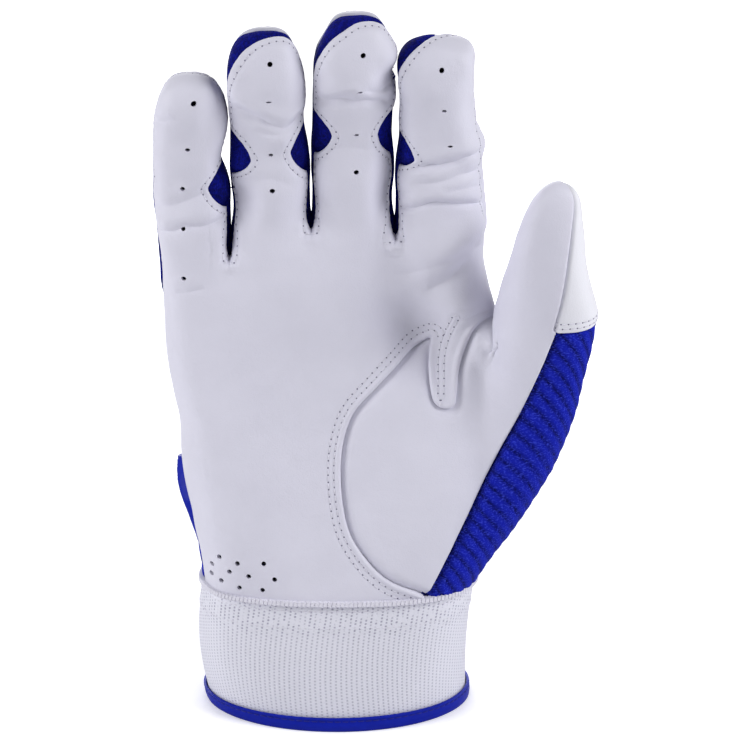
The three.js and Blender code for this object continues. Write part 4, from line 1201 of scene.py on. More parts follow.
# Where the cuff is doubled, as a height
DOUBLE_LOW = 31.6
# The rows of the knit are drawn about twice as coarse as the yarn's, so that they show
KNIT_COLUMN = 1.6
KNIT_ROW = 1.05


def rib_knit(name, yarn, shadow):
    """Elastic rib knit of white yarn: columns of loops with small pits between them, larger and uneven where
    the cuff is doubled under its seam."""
    material, tree = new_material(name)
    laid_flat = add(tree, "UVMap", uv_map="band")
    parts = add(tree, "SeparateXYZ", {"Vector": laid_flat})
    level = parts.outputs["Y"]
    across = add(tree, "Math", {0: parts.outputs["X"], 1: per_mm(KNIT_COLUMN)}, operation="MULTIPLY")
    along = add(tree, "Math", {0: level, 1: per_mm(KNIT_ROW)}, operation="MULTIPLY")
    column_number = add(tree, "Math", {0: across}, operation="ROUND")
    staggered = add(tree, "Math", {0: column_number, 1: 0.5, 2: along}, operation="MULTIPLY_ADD")
    waves = []
    for place in (across, staggered):
        turn = add(tree, "Math", {0: place, 1: math.pi}, operation="MULTIPLY")
        wave = add(tree, "Math", {0: turn}, operation="SINE")
        waves.append(add(tree, "Math", {0: wave}, operation="ABSOLUTE"))
    column = add(tree, "MapRange", {"Value": waves[0], "From Min": 0.2, "From Max": 0.75, "To Min": 1.0,
                                    "To Max": 0.0})
    row = add(tree, "MapRange", {"Value": waves[1], "From Min": 0.45, "From Max": 0.95})
    even = add(tree, "Math", {0: column, 1: row}, operation="MULTIPLY")
    doubled = add(tree, "MapRange", {"Value": level, "From Min": (DOUBLE_LOW - 2.5) * MM,
                                     "From Max": (DOUBLE_LOW + 0.5) * MM})
    clumps = add(tree, "TexNoise", {"Vector": laid_flat, "Scale": per_mm(1.9), "Detail": 1.0})
    uneven = add(tree, "MapRange", {"Value": clumps, "From Min": 0.36, "From Max": 0.58, "To Max": 1.5})
    strength = add(tree, "Mix", {"Factor": doubled, "A": 0.75, "B": uneven})
    pit = add(tree, "Math", {0: even, 1: strength}, operation="MULTIPLY", use_clamp=True)
    fibre = add(tree, "TexNoise", {"Vector": laid_flat, "Scale": per_mm(0.5), "Detail": 3.0})
    colour = add(tree, "Mix", {"Factor": pit, MIX_A: linear(yarn), MIX_B: linear(shadow)}, data_type="RGBA")
    depth = add(tree, "Math", {0: column, 1: 0.1, 2: pit}, operation="MULTIPLY_ADD")
    height = add(tree, "Math", {0: fibre, 1: depth}, operation="SUBTRACT")
    rough = add(tree, "MapRange", {"Value": fibre, "To Min": 0.8, "To Max": 1.0})
    return shade(material, colour, rough, height, 0.12, 0.1)


def woven_tape(name, pale, deep, rough_low, thread, shine=0.3):
    """Woven tape: fine crosswise threads, glossier where it is satin."""
    material, tree = new_material(name)
    place = add(tree, "TexCoord").outputs["Object"]
    weave = add(tree, "TexWave", {"Vector": place, "Scale": per_mm(thread) / 20, "Distortion": 1.5,
                                  "Detail": 2.0}, bands_direction="Z")
    cloud = add(tree, "TexNoise", {"Vector": place, "Scale": per_mm(5), "Detail": 3.0})
    colour = add(tree, "Mix", {"Factor": cloud, MIX_A: linear(deep), MIX_B: linear(pale)}, data_type="RGBA")
    rough = add(tree, "MapRange", {"Value": cloud, "To Min": rough_low, "To Max": rough_low + 0.2})
    return shade(material, colour, rough, weave.outputs["Fac"], 0.06, shine)


def pile_nylon(name, pale, deep, tuft):
    """Touch fastener of moulded nylon: rows of small hooks, or a felt of loops, with painted shade in the low
    places between the tufts.
    """
    material, tree = new_material(name)
    place = add(tree, "TexCoord").outputs["Object"]
    tufts = add(tree, "TexVoronoi", {"Vector": place, "Scale": per_mm(tuft), "Randomness": 0.35})
    # Painted shade: the colour runs to the deep tone where the tufts' relief is lowest
    colour = add(tree, "Mix", {"Factor": tufts, MIX_A: linear(pale), MIX_B: linear(deep)}, data_type="RGBA")
    rough = add(tree, "MapRange", {"Value": tufts, "To Min": 0.55, "To Max": 0.85})
    height = add(tree, "Math", {0: 1.0, 1: tufts}, operation="SUBTRACT")
    return shade(material, colour, rough, height, 0.6)


RIB_PITCH = 4.1
RIB_HEIGHT = 0.4
RIB_SLOPE = math.radians(42)
RIB_WRAP = 0.8

WHITE_LEATHER = leather("white_goat_leather", "d3d2e0", "cfcedc")
BACK_LEATHER = leather("white_coated_leather", "e2e2ea", "dedee7")
BLUE_KNIT = stretch_knit("blue_stretch_knit", "121a96", "05084e")
# The mesh's second tone is painted shade, for its grooves and where it runs under the leather
BLUE_MESH = ribbed_mesh("blue_ribbed_mesh", "1520a4", "04063c", "3a48d2")
WHITE_KNIT = rib_knit("white_elastic_knit", "dcdce7", "a9a8bb")
BLUE_SATIN = woven_tape("blue_satin_binding", "0f22a6", "0b1a8e", 0.35, 0.5, 0.1)
WHITE_TAPE = woven_tape("white_cotton_tape", "e4e4ea", "d8d8e0", 0.75, 0.6)
HOOK_NYLON = pile_nylon("white_hook_nylon", "e6e6ea", "a8a8b2", 1.4)
LOOP_NYLON = pile_nylon("white_loop_nylon", "eaeaee", "c4c4cc", 0.7)
WHITE_THREAD = woven_tape("white_sewing_thread", "dcdbe6", "cfcdda", 0.6, 0.3)
BLUE_THREAD = woven_tape("blue_sewing_thread", "141c8c", "0e1570", 0.5, 0.3)
# Dark grey dots that paint the shadow in the needle holes
NEEDLE_HOLE_SHADOW = woven_tape("needle_hole_shadow", "77758a", "6a687c", 0.9, 0.3, 0.05)


# Putting pieces on their bodies

# Where pieces bend: how far the lowest pieces of a finger do so at most, and places along the thumb
LOW_BEND = 20
THUMB_BENDS = {
    "low": ("hand", "thumb_base", 0.5, THUMB_MIDDLE),
    "high": ("thumb_base", "thumb_tip", THUMB_JOINT - 8, THUMB_JOINT + 9),
}


def to_frame(point):
    return tuple((np.asarray(point) + ORIGIN_SHIFT) * MM)


def finger_bend(f, part):
    """The bodies and the stretch over which a finger's piece bends."""
    base = f.name + "_base"
    if part == "low":
        bodies = ("hand", base)
        ends = (f.start, min(f.middle, f.start + LOW_BEND))
    else:
        bodies = (base, f.name + "_tip")
        ends = (f.joint - JOINT_BEND, f.joint + JOINT_BEND)
    return bodies + tuple(to_frame(finger_centre(f, s)[0]) for s in ends)


def thumb_bend(part):
    lower, upper, *ends = THUMB_BENDS[part]
    return (lower, upper) + tuple(to_frame(thumb_start + thumb_axis * s) for s in ends)


def settle(piece, material, slot, carrier, *nodes):
    """Gives a piece its material and puts it on a body; a piece given two bodies is put on none, its place
    baked into its points. The slot is not used.
    """
    piece.data.materials.append(material)
    if isinstance(carrier, str):
        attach(piece, carrier)
    else:
        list(carrier)
        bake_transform(piece)
    if nodes:
        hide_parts(*nodes)
    return piece


# Leather panels: their surface stands a little off the skin, and its cut edge is rounded

LEATHER_LIFT = 0.35
LEATHER_WALL = 1.0
EDGE_ROUND = 0.5
EDGE_DROP = 0.28
UNDER_LIFT = -0.75
UNDERLAP = 1.6
GUSSET_WALL = 0.6


def rounded(patch, seam):
    """The patch with a line of points just inside its edge, and how far its edge is drawn down."""
    patch = cut(patch, lambda p: seam(p) - EDGE_ROUND, both=True)
    share = 1 - np.clip(seam(patch.data[:, :3]) / EDGE_ROUND, 0, 1)
    return patch, -EDGE_DROP * share


def stitched(name, patch, fields, carrier, slot="palm_leather"):
    """Rows of stitches along the zero lines of some fields on a patch."""
    places = []
    # Dots of painted shadow at the needle holes, one between each stitch and the next
    hole_shadows = []
    for field in fields:
        for line, normals in level_lines(patch, field):
            places += row_places(line, normals, STITCH_PITCH)
            hole_shadows += row_places(line, normals, STITCH_PITCH, 1.0)
    if places:
        settle(stitch_mesh(name, places), WHITE_THREAD, slot, carrier)
        settle(hole_shadow_mesh(name + "_holes", hole_shadows), NEEDLE_HOLE_SHADOW, slot, carrier)


PALM_FINISH = (WHITE_LEATHER, "palm_leather")
BACK_FINISH = (BACK_LEATHER, "back_leather")
GUSSET_FINISH = (BLUE_KNIT, "gusset_knit")


def panel(name, patch, lift, wall, finish, carrier, *nodes):
    """Raises a patch off the skin, gives it a wall and settles it with its finish."""
    raise_patch(patch, lift)
    settle(walled(name, patch, wall), *finish, carrier, *nodes)


EDGE_ROW = 1.75
GROOVE_DEPTH = 0.16
GUSSET_SWELL = 1.5
CROTCH_SWELL = 0.5


def finger_row(p):
    """The row of stitches along the edges of the finger fronts; the outer sides have none at the bottom."""
    m = finger_measure(p)
    plain = (m.slot == PINKY) & (m.across < -3) & (m.along < m.joint) | (m.along < -14)
    plain |= (m.slot == INDEX) & (m.across > 3) & (m.along < 14)
    return np.where(plain, np.nan, front_field(p) - EDGE_ROW)


def stitch_groove(patch, *rows):
    """How far rows of stitches draw the leather in."""
    return -GROOVE_DEPTH * np.max([np.nan_to_num(hump(row(patch.data[:, :3]), 0.7)) for row in rows], axis=0)


def back_row(p):
    return back_edge(p) - EDGE_ROW


def flex_grooves(patch):
    """Grooves pressed across the finger backs, over the middle joints."""
    m = finger_measure(patch.data[:, :3])
    return -FLEX_DEPTH * np.max([hump(m.along - m.joint - d, FLEX_WIDTH) for d in FLEX_PLACES], axis=0)


def gusset_field(p):
    return UNDERLAP - np.maximum(front_field(p), back_field(p))


def gusset_lift(patch):
    """Gussets lie under the leather's edges, and swell between them towards crotches and at notches."""
    rest = patch.data[:, :3]
    m = finger_measure(rest)
    swell = GUSSET_SWELL * (1 - 0.6 * smoothstep(m.joint - 6, m.joint + 10, m.along))
    swell += CROTCH_SWELL * (1 - smoothstep(4, 24, m.along))
    inside = smoothstep(0, 3, gusset_field(rest) - UNDERLAP)
    return UNDER_LIFT + swell * inside


SLOT_MARGIN = 0.02


def own_reader(i):
    """Reads fields just inside one finger's slot, so that its neighbours don't mix in at the edges."""
    low = SLOTS[i] + SLOT_MARGIN if i > PINKY else -FAR
    high = (SLOTS[i + 1] if i < INDEX else INDEX_LIMIT) - SLOT_MARGIN
    return lambda field: lambda p: field(np.column_stack([np.clip(p[:, 0], low, high), p[:, 1:]]))


def build_finger(i, f):
    slot = in_slot(i)
    own = own_reader(i)
    parts = {
        "low": (own(start_of_finger), own(lambda p: -middle_of_finger(p))),
        "high": (own(middle_of_finger),),
    }
    for part, limits in parts.items():
        bend = finger_bend(f, part)
        node = "base" if part == "low" else "tip"
        patch, drop = rounded(skin_patch(slot, own(front_field), vent_field, *limits), own(front_field))
        lift = LEATHER_LIFT + drop + stitch_groove(patch, finger_row)
        panel(f"{f.name}_front_{part}", patch, lift, LEATHER_WALL, PALM_FINISH, bend,
              f"{f.name}_front_{node}")
        stitched(f"{f.name}_stitches_{part}", patch, [finger_row], bend)
        patch, drop = rounded(skin_patch(slot, own(back_field), *limits), own(back_edge))
        lift = LEATHER_LIFT + drop + stitch_groove(patch, back_row) + flex_grooves(patch)
        panel(f"{f.name}_back_{part}", patch, lift, LEATHER_WALL, BACK_FINISH, bend,
              f"{f.name}_back_{node}")
        stitched(f"{f.name}_back_stitches_{part}", patch, [back_row], bend, "back_leather")
        for side, sign in (("left", -1), ("right", 1)):
            half = own(lambda p: sign * finger_measure(p).across)
            patch = skin_patch(slot, own(gusset_field), half, *limits)
            finish = PALM_FINISH if i == INDEX and side == "right" else GUSSET_FINISH
            stands_for = side if part == "low" else "tip"
            panel(f"{f.name}_gusset_{part}_{side}", patch, gusset_lift(patch), GUSSET_WALL, finish, bend,
                  f"{f.name}_gusset_{stands_for}")


for i, f in enumerate(FINGERS):
    build_finger(i, f)


# Palm, crotches, thumb ball and the mesh over the back of the hand

LIP_HEIGHT = 0.45
LIP_PLACE = 0.9
SEAM_TUCK = 1.5
SEAM_TUCK_RUN = 3.2
COVER_TUCK = 1.1
THUMB_ROWS = (2.0, 3.8)
TONGUE_ROWS = (-0.9, 0.9)
TONGUE_LEFT = 5.0
TONGUE_RIGHT = 16.0
# X where the rows beside the thumb ball's seam end, and where they end on the tongue
SEAM_ROW_END = 23.5
SEAM_ROW_TONGUE = 17
COVER_ROWS = (1.5, 3.1)
CROTCH_DEPTH = 10


def palm_seam(p):
    return np.minimum(front_field(p), -thumb_side(p))


def tongue_field(p):
    """Positive on the tongue that the palm sends down into the crotch of the thumb."""
    aside = p[:, 0] - tongue_middle[-1][0]
    beside = np.minimum(aside + TONGUE_LEFT, TONGUE_RIGHT - aside)
    return np.minimum(-line_distance(p, tongue_root), beside)


def seam_row(distance):
    """A row of stitches on the palm beside the seam of the thumb ball, up to the tongue."""
    def field(p):
        beyond = (p[:, 0] > SEAM_ROW_END) | (tongue_field(p) > 0) & (p[:, 0] > SEAM_ROW_TONGUE)
        return np.where(beyond, np.nan, -thumb_side(p) - distance)
    return field


def tongue_row(offset):
    """A row of stitches along the middle of the tongue."""
    def field(p):
        above = p[:, 2] > tongue_middle[0][1] + 1.5
        return np.where(above, np.nan, line_distance(p, tongue_middle) - offset)
    return field


def cover_row(height):
    """A row of stitches along the hem of the thumb's cover."""
    return lambda p: cover_hem(p) - height


def below_fingers(p):
    return -start_of_finger(p)


def build_palm():
    rows = [finger_row] + [seam_row(d) for d in THUMB_ROWS] + [tongue_row(d) for d in TONGUE_ROWS]
    for name, node, limits in (
        ("palm_panel", "palm_leather", (lambda p: -tongue_field(p),)),
        ("thumb_tongue", "thumb_quirk", (tongue_field, lambda p: PALM_CENTRE_Y - p[:, 1])),
    ):
        patch = main_part(skin_patch(palm_seam, below_fingers, vent_field, *limits))
        patch, drop = rounded(patch, palm_seam)
        rest = patch.data[:, :3]
        drop = np.where(front_field(rest) < EDGE_ROUND, drop, drop * seam_strength(rest))
        lip = LIP_HEIGHT * hump(-thumb_side(rest) - LIP_PLACE, 0.8) * seam_strength(rest)
        lift = LEATHER_LIFT + drop + lip + stitch_groove(patch, *rows)
        panel(name, patch, lift, LEATHER_WALL, PALM_FINISH, "hand", node)
        stitched(name + "_stitches", patch, rows, "hand")
    saddles = skin_patch(gusset_field, below_fingers, lambda p: finger_measure(p).along + CROTCH_DEPTH)
    panel("finger_crotches", saddles, gusset_lift(saddles), GUSSET_WALL, GUSSET_FINISH, "hand")


def thumb_ball_seam(p):
    return np.minimum(thumb_front(p), thumb_side(p) + UNDERLAP * seam_strength(p))


def cover_side(p):
    """How far a place lies behind the face of the thumb."""
    return -((p - thumb_face_place) @ thumb_face)


def cover_edge(p):
    return np.minimum(cover_side(p), cover_hem(p))


def on_thumb(p):
    return p[:, 0] - INDEX_LIMIT


def thumb_below_middle(p):
    return THUMB_MIDDLE - thumb_along(p)


def thumb_above_middle(p):
    return thumb_along(p) - THUMB_MIDDLE


def build_thumb():
    for part, node, *limits in (
        ("ball", "thumb_leather", lambda p: -thumb_along(p)),
        ("low", "thumb_front_base", thumb_along, thumb_below_middle),
        ("high", "thumb_front_tip", thumb_above_middle),
    ):
        patch, drop = rounded(main_part(skin_patch(thumb_ball_seam, *limits)), thumb_ball_seam)
        rest = patch.data[:, :3]
        tuck = -SEAM_TUCK * (1 - smoothstep(-0.5, SEAM_TUCK_RUN, thumb_side(rest))) * seam_strength(rest)
        drop = np.where(thumb_front(rest) < EDGE_ROUND, drop, 0)
        lift = LEATHER_LIFT + drop + tuck
        carrier = "hand" if part == "ball" else thumb_bend(part)
        panel(f"thumb_face_{part}", patch, lift, LEATHER_WALL, PALM_FINISH, carrier, node)
    for part, node, limit in (
        ("low", "thumb_back_base", thumb_below_middle),
        ("high", "thumb_back_tip", thumb_above_middle),
    ):
        patch, drop = rounded(skin_patch(cover_edge, on_thumb, limit), cover_edge)
        beside_face = 1 - smoothstep(0, 1.5, cover_side(patch.data[:, :3]))
        lift = LEATHER_LIFT + drop - COVER_TUCK * beside_face
        panel(f"thumb_cover_{part}", patch, lift, LEATHER_WALL, BACK_FINISH, thumb_bend(part), node)
        if part == "low":
            stitched("thumb_cover_stitches", patch, [cover_row(d) for d in COVER_ROWS], thumb_bend(part))


MESH_WALL = 0.9
MESH_OVERRUN = 2.0
MESH_TUCK = 0.35
MESH_LIFT = 0.7
# How much of the mesh is left when the faces of its inner side are thinned
MESH_SHARE = 0.6
# Where the mesh stands fuller or is drawn in beside the thumb: height, radius and how far
MESH_FULLNESS = ((64, 24, 2.2), (106, 14, -1.2))


def mesh_field(p):
    return UNDERLAP - front_field(p)


def thin_inside(piece, outer, share):
    """Takes faces out of a piece's inner side, which is out of sight, until a share of all is left."""
    inside = piece.vertex_groups.new(name="inside")
    inside.add(list(range(outer, len(piece.data.vertices))), 1.0, "REPLACE")
    thinning = piece.modifiers.new("thinning", "DECIMATE")
    thinning.ratio = share
    thinning.vertex_group = inside.name
    bpy.context.view_layer.objects.active = piece
    bpy.ops.object.modifier_apply(modifier=thinning.name)
    piece.vertex_groups.clear()


def under_cover(p):
    return np.where(p[:, 0] > INDEX_LIMIT, UNDERLAP - cover_hem(p), WELL_INSIDE)


def under_backs(p):
    return MESH_OVERRUN - start_of_finger(p)


def beside_crotches(p):
    return np.where(finger_measure(p).along > -6, back_field(p) + UNDERLAP, WELL_INSIDE)


def build_mesh():
    patch = skin_patch(mesh_field, under_cover, under_backs, beside_crotches)
    rest = patch.data[:, :3]
    x, y, z = rest.T
    across = (x + RIB_WRAP * y) * math.sin(RIB_SLOPE) + z * math.cos(RIB_SLOPE)
    ribs = np.abs(np.sin(math.pi * across / RIB_PITCH)) ** 0.7
    rise = smoothstep(-0.2, 2.6, -front_field(rest))
    bare = 1 - smoothstep(-1.5, -0.3, np.where(x > INDEX_LIMIT, cover_hem(rest), -WELL_INSIDE))
    bare *= 1 - smoothstep(-1.2, -0.2, start_of_finger(rest))
    full = sum(far * hump(z - place, radius) for place, radius, far in MESH_FULLNESS)
    lift = (MESH_LIFT + smoothstep(10, 30, x) * full + RIB_HEIGHT * ribs) * rise * bare
    raise_patch(patch, UNDER_LIFT - MESH_TUCK * (1 - bare) + lift)
    piece = walled("hand_back_mesh", patch, MESH_WALL)
    # The rib's rise is low in the grooves and under the leather's edges, where the material paints shade; the
    # inner side takes a middle value
    height = piece.data.attributes.new("rib", "FLOAT", "POINT")
    height.data.foreach_set("value", np.concatenate([ribs * rise, np.full(len(ribs), 0.5)]))
    thin_inside(piece, len(ribs), MESH_SHARE)
    settle(piece, BLUE_MESH, "back_mesh", "hand", "back_mesh")


BINDING_LOW = 47.5
BINDING_HIGH = 78.5
BINDING_FULL = 76.0
BINDING_HALF = 2.2
BINDING_PLACE = -1.6
BINDING_OUT = 3.5
BINDING_ASIDE = 1.2
BINDING_SINK = 0.7


def binding_strip(p):
    beside = BINDING_HALF - np.abs(side_field(p) - BINDING_PLACE)
    return np.minimum(beside, KNUCKLE_LEFT / 2 - p[:, 0])


def binding_ends(p):
    return np.minimum(p[:, 2] - BINDING_LOW, BINDING_HIGH - p[:, 2])


def build_side_binding():
    """The smooth blue edge of the back that stands off beside the heel of the palm, on the pinky side."""
    patch = skin_patch(binding_strip, binding_ends)
    patch.data[:, 6:9] = unit(patch.data[:, 6:9] + (-BINDING_ASIDE, 0, 0))
    rest = patch.data[:, :3]
    out = BINDING_OUT * smoothstep(BINDING_LOW, BINDING_FULL, rest[:, 2])
    off = out * smoothstep(-0.5, 2.0, -side_field(rest))
    wall = off + BINDING_SINK
    panel("side_binding", patch, off - BINDING_SINK / 2, wall, (BLUE_SATIN, "back_mesh"), "hand")


build_palm()
build_thumb()
build_mesh()
build_side_binding()


# Cuff, hem, strap and what is inside the cuff

CUFF_WALL = 1.8
CUFF_SWELL = 0.8
CUFF_LEAN = 1.8
HEM_SHIFT = -1.4
HEM_HALF_WIDTH = 40.9
HEM_HALF_DEPTH = 33.0
HEM_HEIGHT = 4.6
HEM_FLOOR = 1.1
SEAM_GAP = 0.4
HEM_WALL = 0.9
# The hem's outer side: heights, and how far it stands out against its full width
HEM_SECTION = ((0.0, -0.5), (0.25, -0.12), (0.8, 0.0), (1.9, 0.12), (2.9, 0.0),
               (3.3, -0.22), (3.6, -0.22), (4.0, 0.0), (4.4, -0.1), (4.6, -0.5))
SLIT_ANGLE = 96.0
SLIT_HALF = 4.6
DOUBLE_LIFT = 0.2
# Rows of stitches on the cuff, beside its slit, on its overlocked seam and on its hem: heights, how far they
# stand out, pitches, and the length and radius of a stitch
CUFF_ROWS = (33.2, 38.6)
CUFF_ROW_OUT = 0.12
CUFF_PITCH = 1.7
CUFF_STITCH = (1.2, 0.22)
SLIT_ROW = 2.5
SLIT_ROW_OUT = 0.02
OVERLOCK_ROW = (41.0, 0.5, 1.3)
OVERLOCK_STITCH = (2.2, 1.0)
HEM_ROW = 3.45
HEM_PITCH = 2.4
HEM_STITCH = (2.0, 0.17)
TAPE_HEIGHT = 5.0
TAPE_WALL = 0.8
STRAP_ROOT, STRAP_END = 40.0, 158.0
STRAP_LOW, STRAP_HIGH = 9.0, 35.0
STRAP_WALL = 1.5
STRAP_ROOT_RUN = 16.0
STRAP_ROUND = 9.0
STRAP_SOFT = 0.7
STRAP_ROW = 2.4
PLATE_SOFT_RUN = 1.5
PANEL_START = 32.0
PANEL_INSET = 4.2
PANEL_RISE = 0.5
PANEL_SLOPE = 1.2
PATCH_LOW, PATCH_HIGH = 12.0, 32.0
HOOK_START, HOOK_END = 112.0, 155.0
HOOK_WALL = 0.8
LOOP_START, LOOP_END = 104.0, 166.0
LOOP_WALL = 1.0
LABEL_START, LABEL_END = 239.0, 261.0
LABEL_LOW, LABEL_HIGH = 14.0, 29.0
LABEL_WALL = 0.5

rim = sorted({i for edge in rim_edges(skin_faces) for i in edge})
wrist = rest_points[rim][:, :2]
wrist_centre = wrist.mean(axis=0)
HEM_HALVES = (HEM_HALF_WIDTH, HEM_HALF_DEPTH)
hem = unit((wrist - wrist_centre) / HEM_HALVES) * HEM_HALVES + (HEM_SHIFT, 0)
hem_angles = np.degrees(np.arctan2(hem[:, 1], hem[:, 0]))


def cuff_points(angles, z, out):
    """Points of the cuff's surface at some angles and heights, moved outwards."""
    z = np.broadcast_to(np.asarray(z, float), angles.shape)
    share = np.reshape(z / CUFF_HEIGHT, (-1, 1))

    def ring(turned):
        foot, top = ([np.interp(turned, hem_angles, values, period=360) for values in line.T]
                     for line in (hem, wrist))
        return lerp(np.stack(foot, axis=1) + wrist_centre, np.stack(top, axis=1), share)

    tangent = ring(angles + 1) - ring(angles - 1)
    side = unit(np.stack([tangent[:, 1], -tangent[:, 0]], axis=1))
    bulge = np.sin(math.pi * share)
    away = np.reshape(np.broadcast_to(out, angles.shape), (-1, 1)) + CUFF_SWELL * bulge
    return np.hstack([ring(angles) + side * away - bulge * (CUFF_LEAN, 0), z[:, None]])


def band(name, angles, section):
    """A strip round the cuff with a closed section of heights and offsets, and a map of it laid flat."""
    rings = [cuff_points(angles, z, out) for z, out in section]
    count, rows = len(angles), len(section)

    def at(row, column):
        return row % rows * count + column

    faces = [[at(r, c), at(r, c + 1), at(r + 1, c + 1), at(r + 1, c)]
             for r in range(rows) for c in range(count - 1)]
    faces.append([at(r, 0) for r in range(rows)])
    faces.append([at(r, count - 1) for r in reversed(range(rows))])
    made = mesh_object(name, np.vstack(rings), faces, BAND_SMOOTH)
    across = run_along(rings[rows // 4])
    flat = made.data.uv_layers.new(name="band")
    for loop in made.data.loops:
        row, column = divmod(loop.vertex_index, count)
        flat.data[loop.index].uv = (across[column] * MM, section[row][0] * MM)
    return made


def corner_draw(left, radius):
    """How far a rounded corner draws an edge in, by the distance left to the end."""
    near = np.clip(radius - left, 0, radius)
    return radius - np.sqrt(radius ** 2 - near ** 2)


def cuff_run(angles, z):
    """Distances along the cuff at one height, from the first angle."""
    return run_along(cuff_points(angles, z, 0))


def plate(name, angles, low, high, out, wall, rows=8, round_end=0.0, soft=0.0, panel_start=None):
    """A plate on the cuff: one end may be rounded, its edges soft, and a bare panel raised on it."""
    run = cuff_run(angles, low)
    left = run[-1] - run
    drawn = corner_draw(left, round_end)
    half = (high - low) / 2
    layers = []
    for outside in (True, False):
        for share in np.sin(np.linspace(-math.pi / 2, math.pi / 2, rows + 1)):
            heights = (low + high) / 2 + share * (half - drawn)
            offsets = np.broadcast_to(out, angles.shape).astype(float)
            if outside:
                inside = np.minimum(np.minimum(run, left), (1 - abs(share)) * (half - drawn))
                offsets = offsets + wall - soft * (1 - smoothstep(0, PLATE_SOFT_RUN, inside))
                if panel_start is not None:
                    inner = np.minimum(inside, run - panel_start)
                    offsets += PANEL_RISE * smoothstep(PANEL_INSET, PANEL_INSET + PANEL_SLOPE, inner)
            layers.append(cuff_points(angles, heights, offsets))
    count = len(angles)
    faces = []
    back = (rows + 1) * count
    for r in range(rows):
        for c in range(count - 1):
            a = r * count + c
            faces.append([a, a + 1, a + count + 1, a + count])
            faces.append([back + a, back + a + count, back + a + count + 1, back + a + 1])
    border = list(range(count)) + [r * count + count - 1 for r in range(1, rows + 1)]
    border += [rows * count + c for c in reversed(range(count - 1))]
    border += [r * count for r in reversed(range(1, rows))]
    faces += [[b, a, back + a, back + b] for a, b in sides(border)]
    return mesh_object(name, np.vstack(layers), faces, PLATE_SMOOTH)


def ring_angles(start, end, step):
    return np.linspace(start, end, int((end - start) / step) + 1)


around_cuff = ring_angles(SLIT_ANGLE + SLIT_HALF, SLIT_ANGLE + 360 - SLIT_HALF, 1)


def cuff_line(angles, z, out, pitch):
    """Places along a line over the cuff, given by its angles, heights and offsets."""
    line = cuff_points(angles, z, out)
    up = cuff_points(angles, z, np.asarray(out) + 1.0) - line
    return row_places(line, up, pitch)


def build_cuff():
    heights = np.concatenate([np.linspace(HEM_FLOOR + SEAM_GAP, DOUBLE_LOW - 0.5, 20),
                              np.linspace(DOUBLE_LOW - 0.2, CUFF_HEIGHT - SEAM_GAP, 20)])
    lift = DOUBLE_LIFT * smoothstep(DOUBLE_LOW - 1.0, DOUBLE_LOW + 1.0, heights)
    outside = list(zip(heights, lift))
    inside = [(z, -CUFF_WALL) for z in heights[::-4]]
    knit = band("cuff_knit_band", around_cuff, outside + inside)
    settle(knit, WHITE_KNIT, "cuff_knit", "hand", "cuff_knit")
    rows = []
    for z in CUFF_ROWS:
        rows += cuff_line(around_cuff, z, CUFF_ROW_OUT, CUFF_PITCH)
    upright = np.linspace(HEM_HEIGHT + 1, DOUBLE_LOW, 20)
    for side in (-1, 1):
        angles = np.full(len(upright), SLIT_ANGLE + side * (SLIT_HALF + SLIT_ROW))
        rows += cuff_line(angles, upright, SLIT_ROW_OUT, CUFF_PITCH)
    settle(stitch_mesh("cuff_stitches", rows, *CUFF_STITCH), WHITE_THREAD, "cuff_knit", "hand")
    overlock = []
    for here, along, up in cuff_line(around_cuff, *OVERLOCK_ROW):
        slant = (up * -0.15 + np.array([0, 0, 1]) + along * 0.25) / 1.042
        overlock.append((here, slant, np.cross(np.cross(slant, up), slant)))
    settle(stitch_mesh("cuff_overlock", overlock, *OVERLOCK_STITCH), WHITE_THREAD, "cuff_knit", "hand")
    hem_out = SEAM_GAP + HEM_WALL
    hem_in = -CUFF_WALL - SEAM_GAP
    outer = [(z, hem_out + out) for z, out in HEM_SECTION]
    fold = [(HEM_HEIGHT - 0.1, SEAM_GAP), (HEM_FLOOR, SEAM_GAP), (HEM_FLOOR, hem_in), (HEM_HEIGHT, hem_in),
            (HEM_HEIGHT, hem_in - HEM_WALL), (0.5, hem_in - HEM_WALL), (0.0, hem_in - 0.4)]
    settle(band("hem_tape", around_cuff, outer + fold), BLUE_SATIN, "hem_binding", "hand", "hem_binding")
    row = cuff_line(around_cuff, HEM_ROW, hem_out - 0.12, HEM_PITCH)
    settle(stitch_mesh("hem_stitches", row, *HEM_STITCH), BLUE_THREAD, "hem_binding", "hand")
    tape_low = CUFF_HEIGHT - TAPE_HEIGHT
    tape = [(tape_low, hem_in), (CUFF_HEIGHT, hem_in),
            (CUFF_HEIGHT, hem_in - TAPE_WALL), (tape_low, hem_in - TAPE_WALL)]
    settle(band("seam_tape", around_cuff, tape), WHITE_TAPE, "cotton_tape", "hand", "cuff_seam_tape")
    label = plate("blank_label", ring_angles(LABEL_START, LABEL_END, 2), LABEL_LOW, LABEL_HIGH,
                  hem_in - LABEL_WALL, LABEL_WALL)
    settle(label, WHITE_TAPE, "cotton_tape", "hand", "size_label")


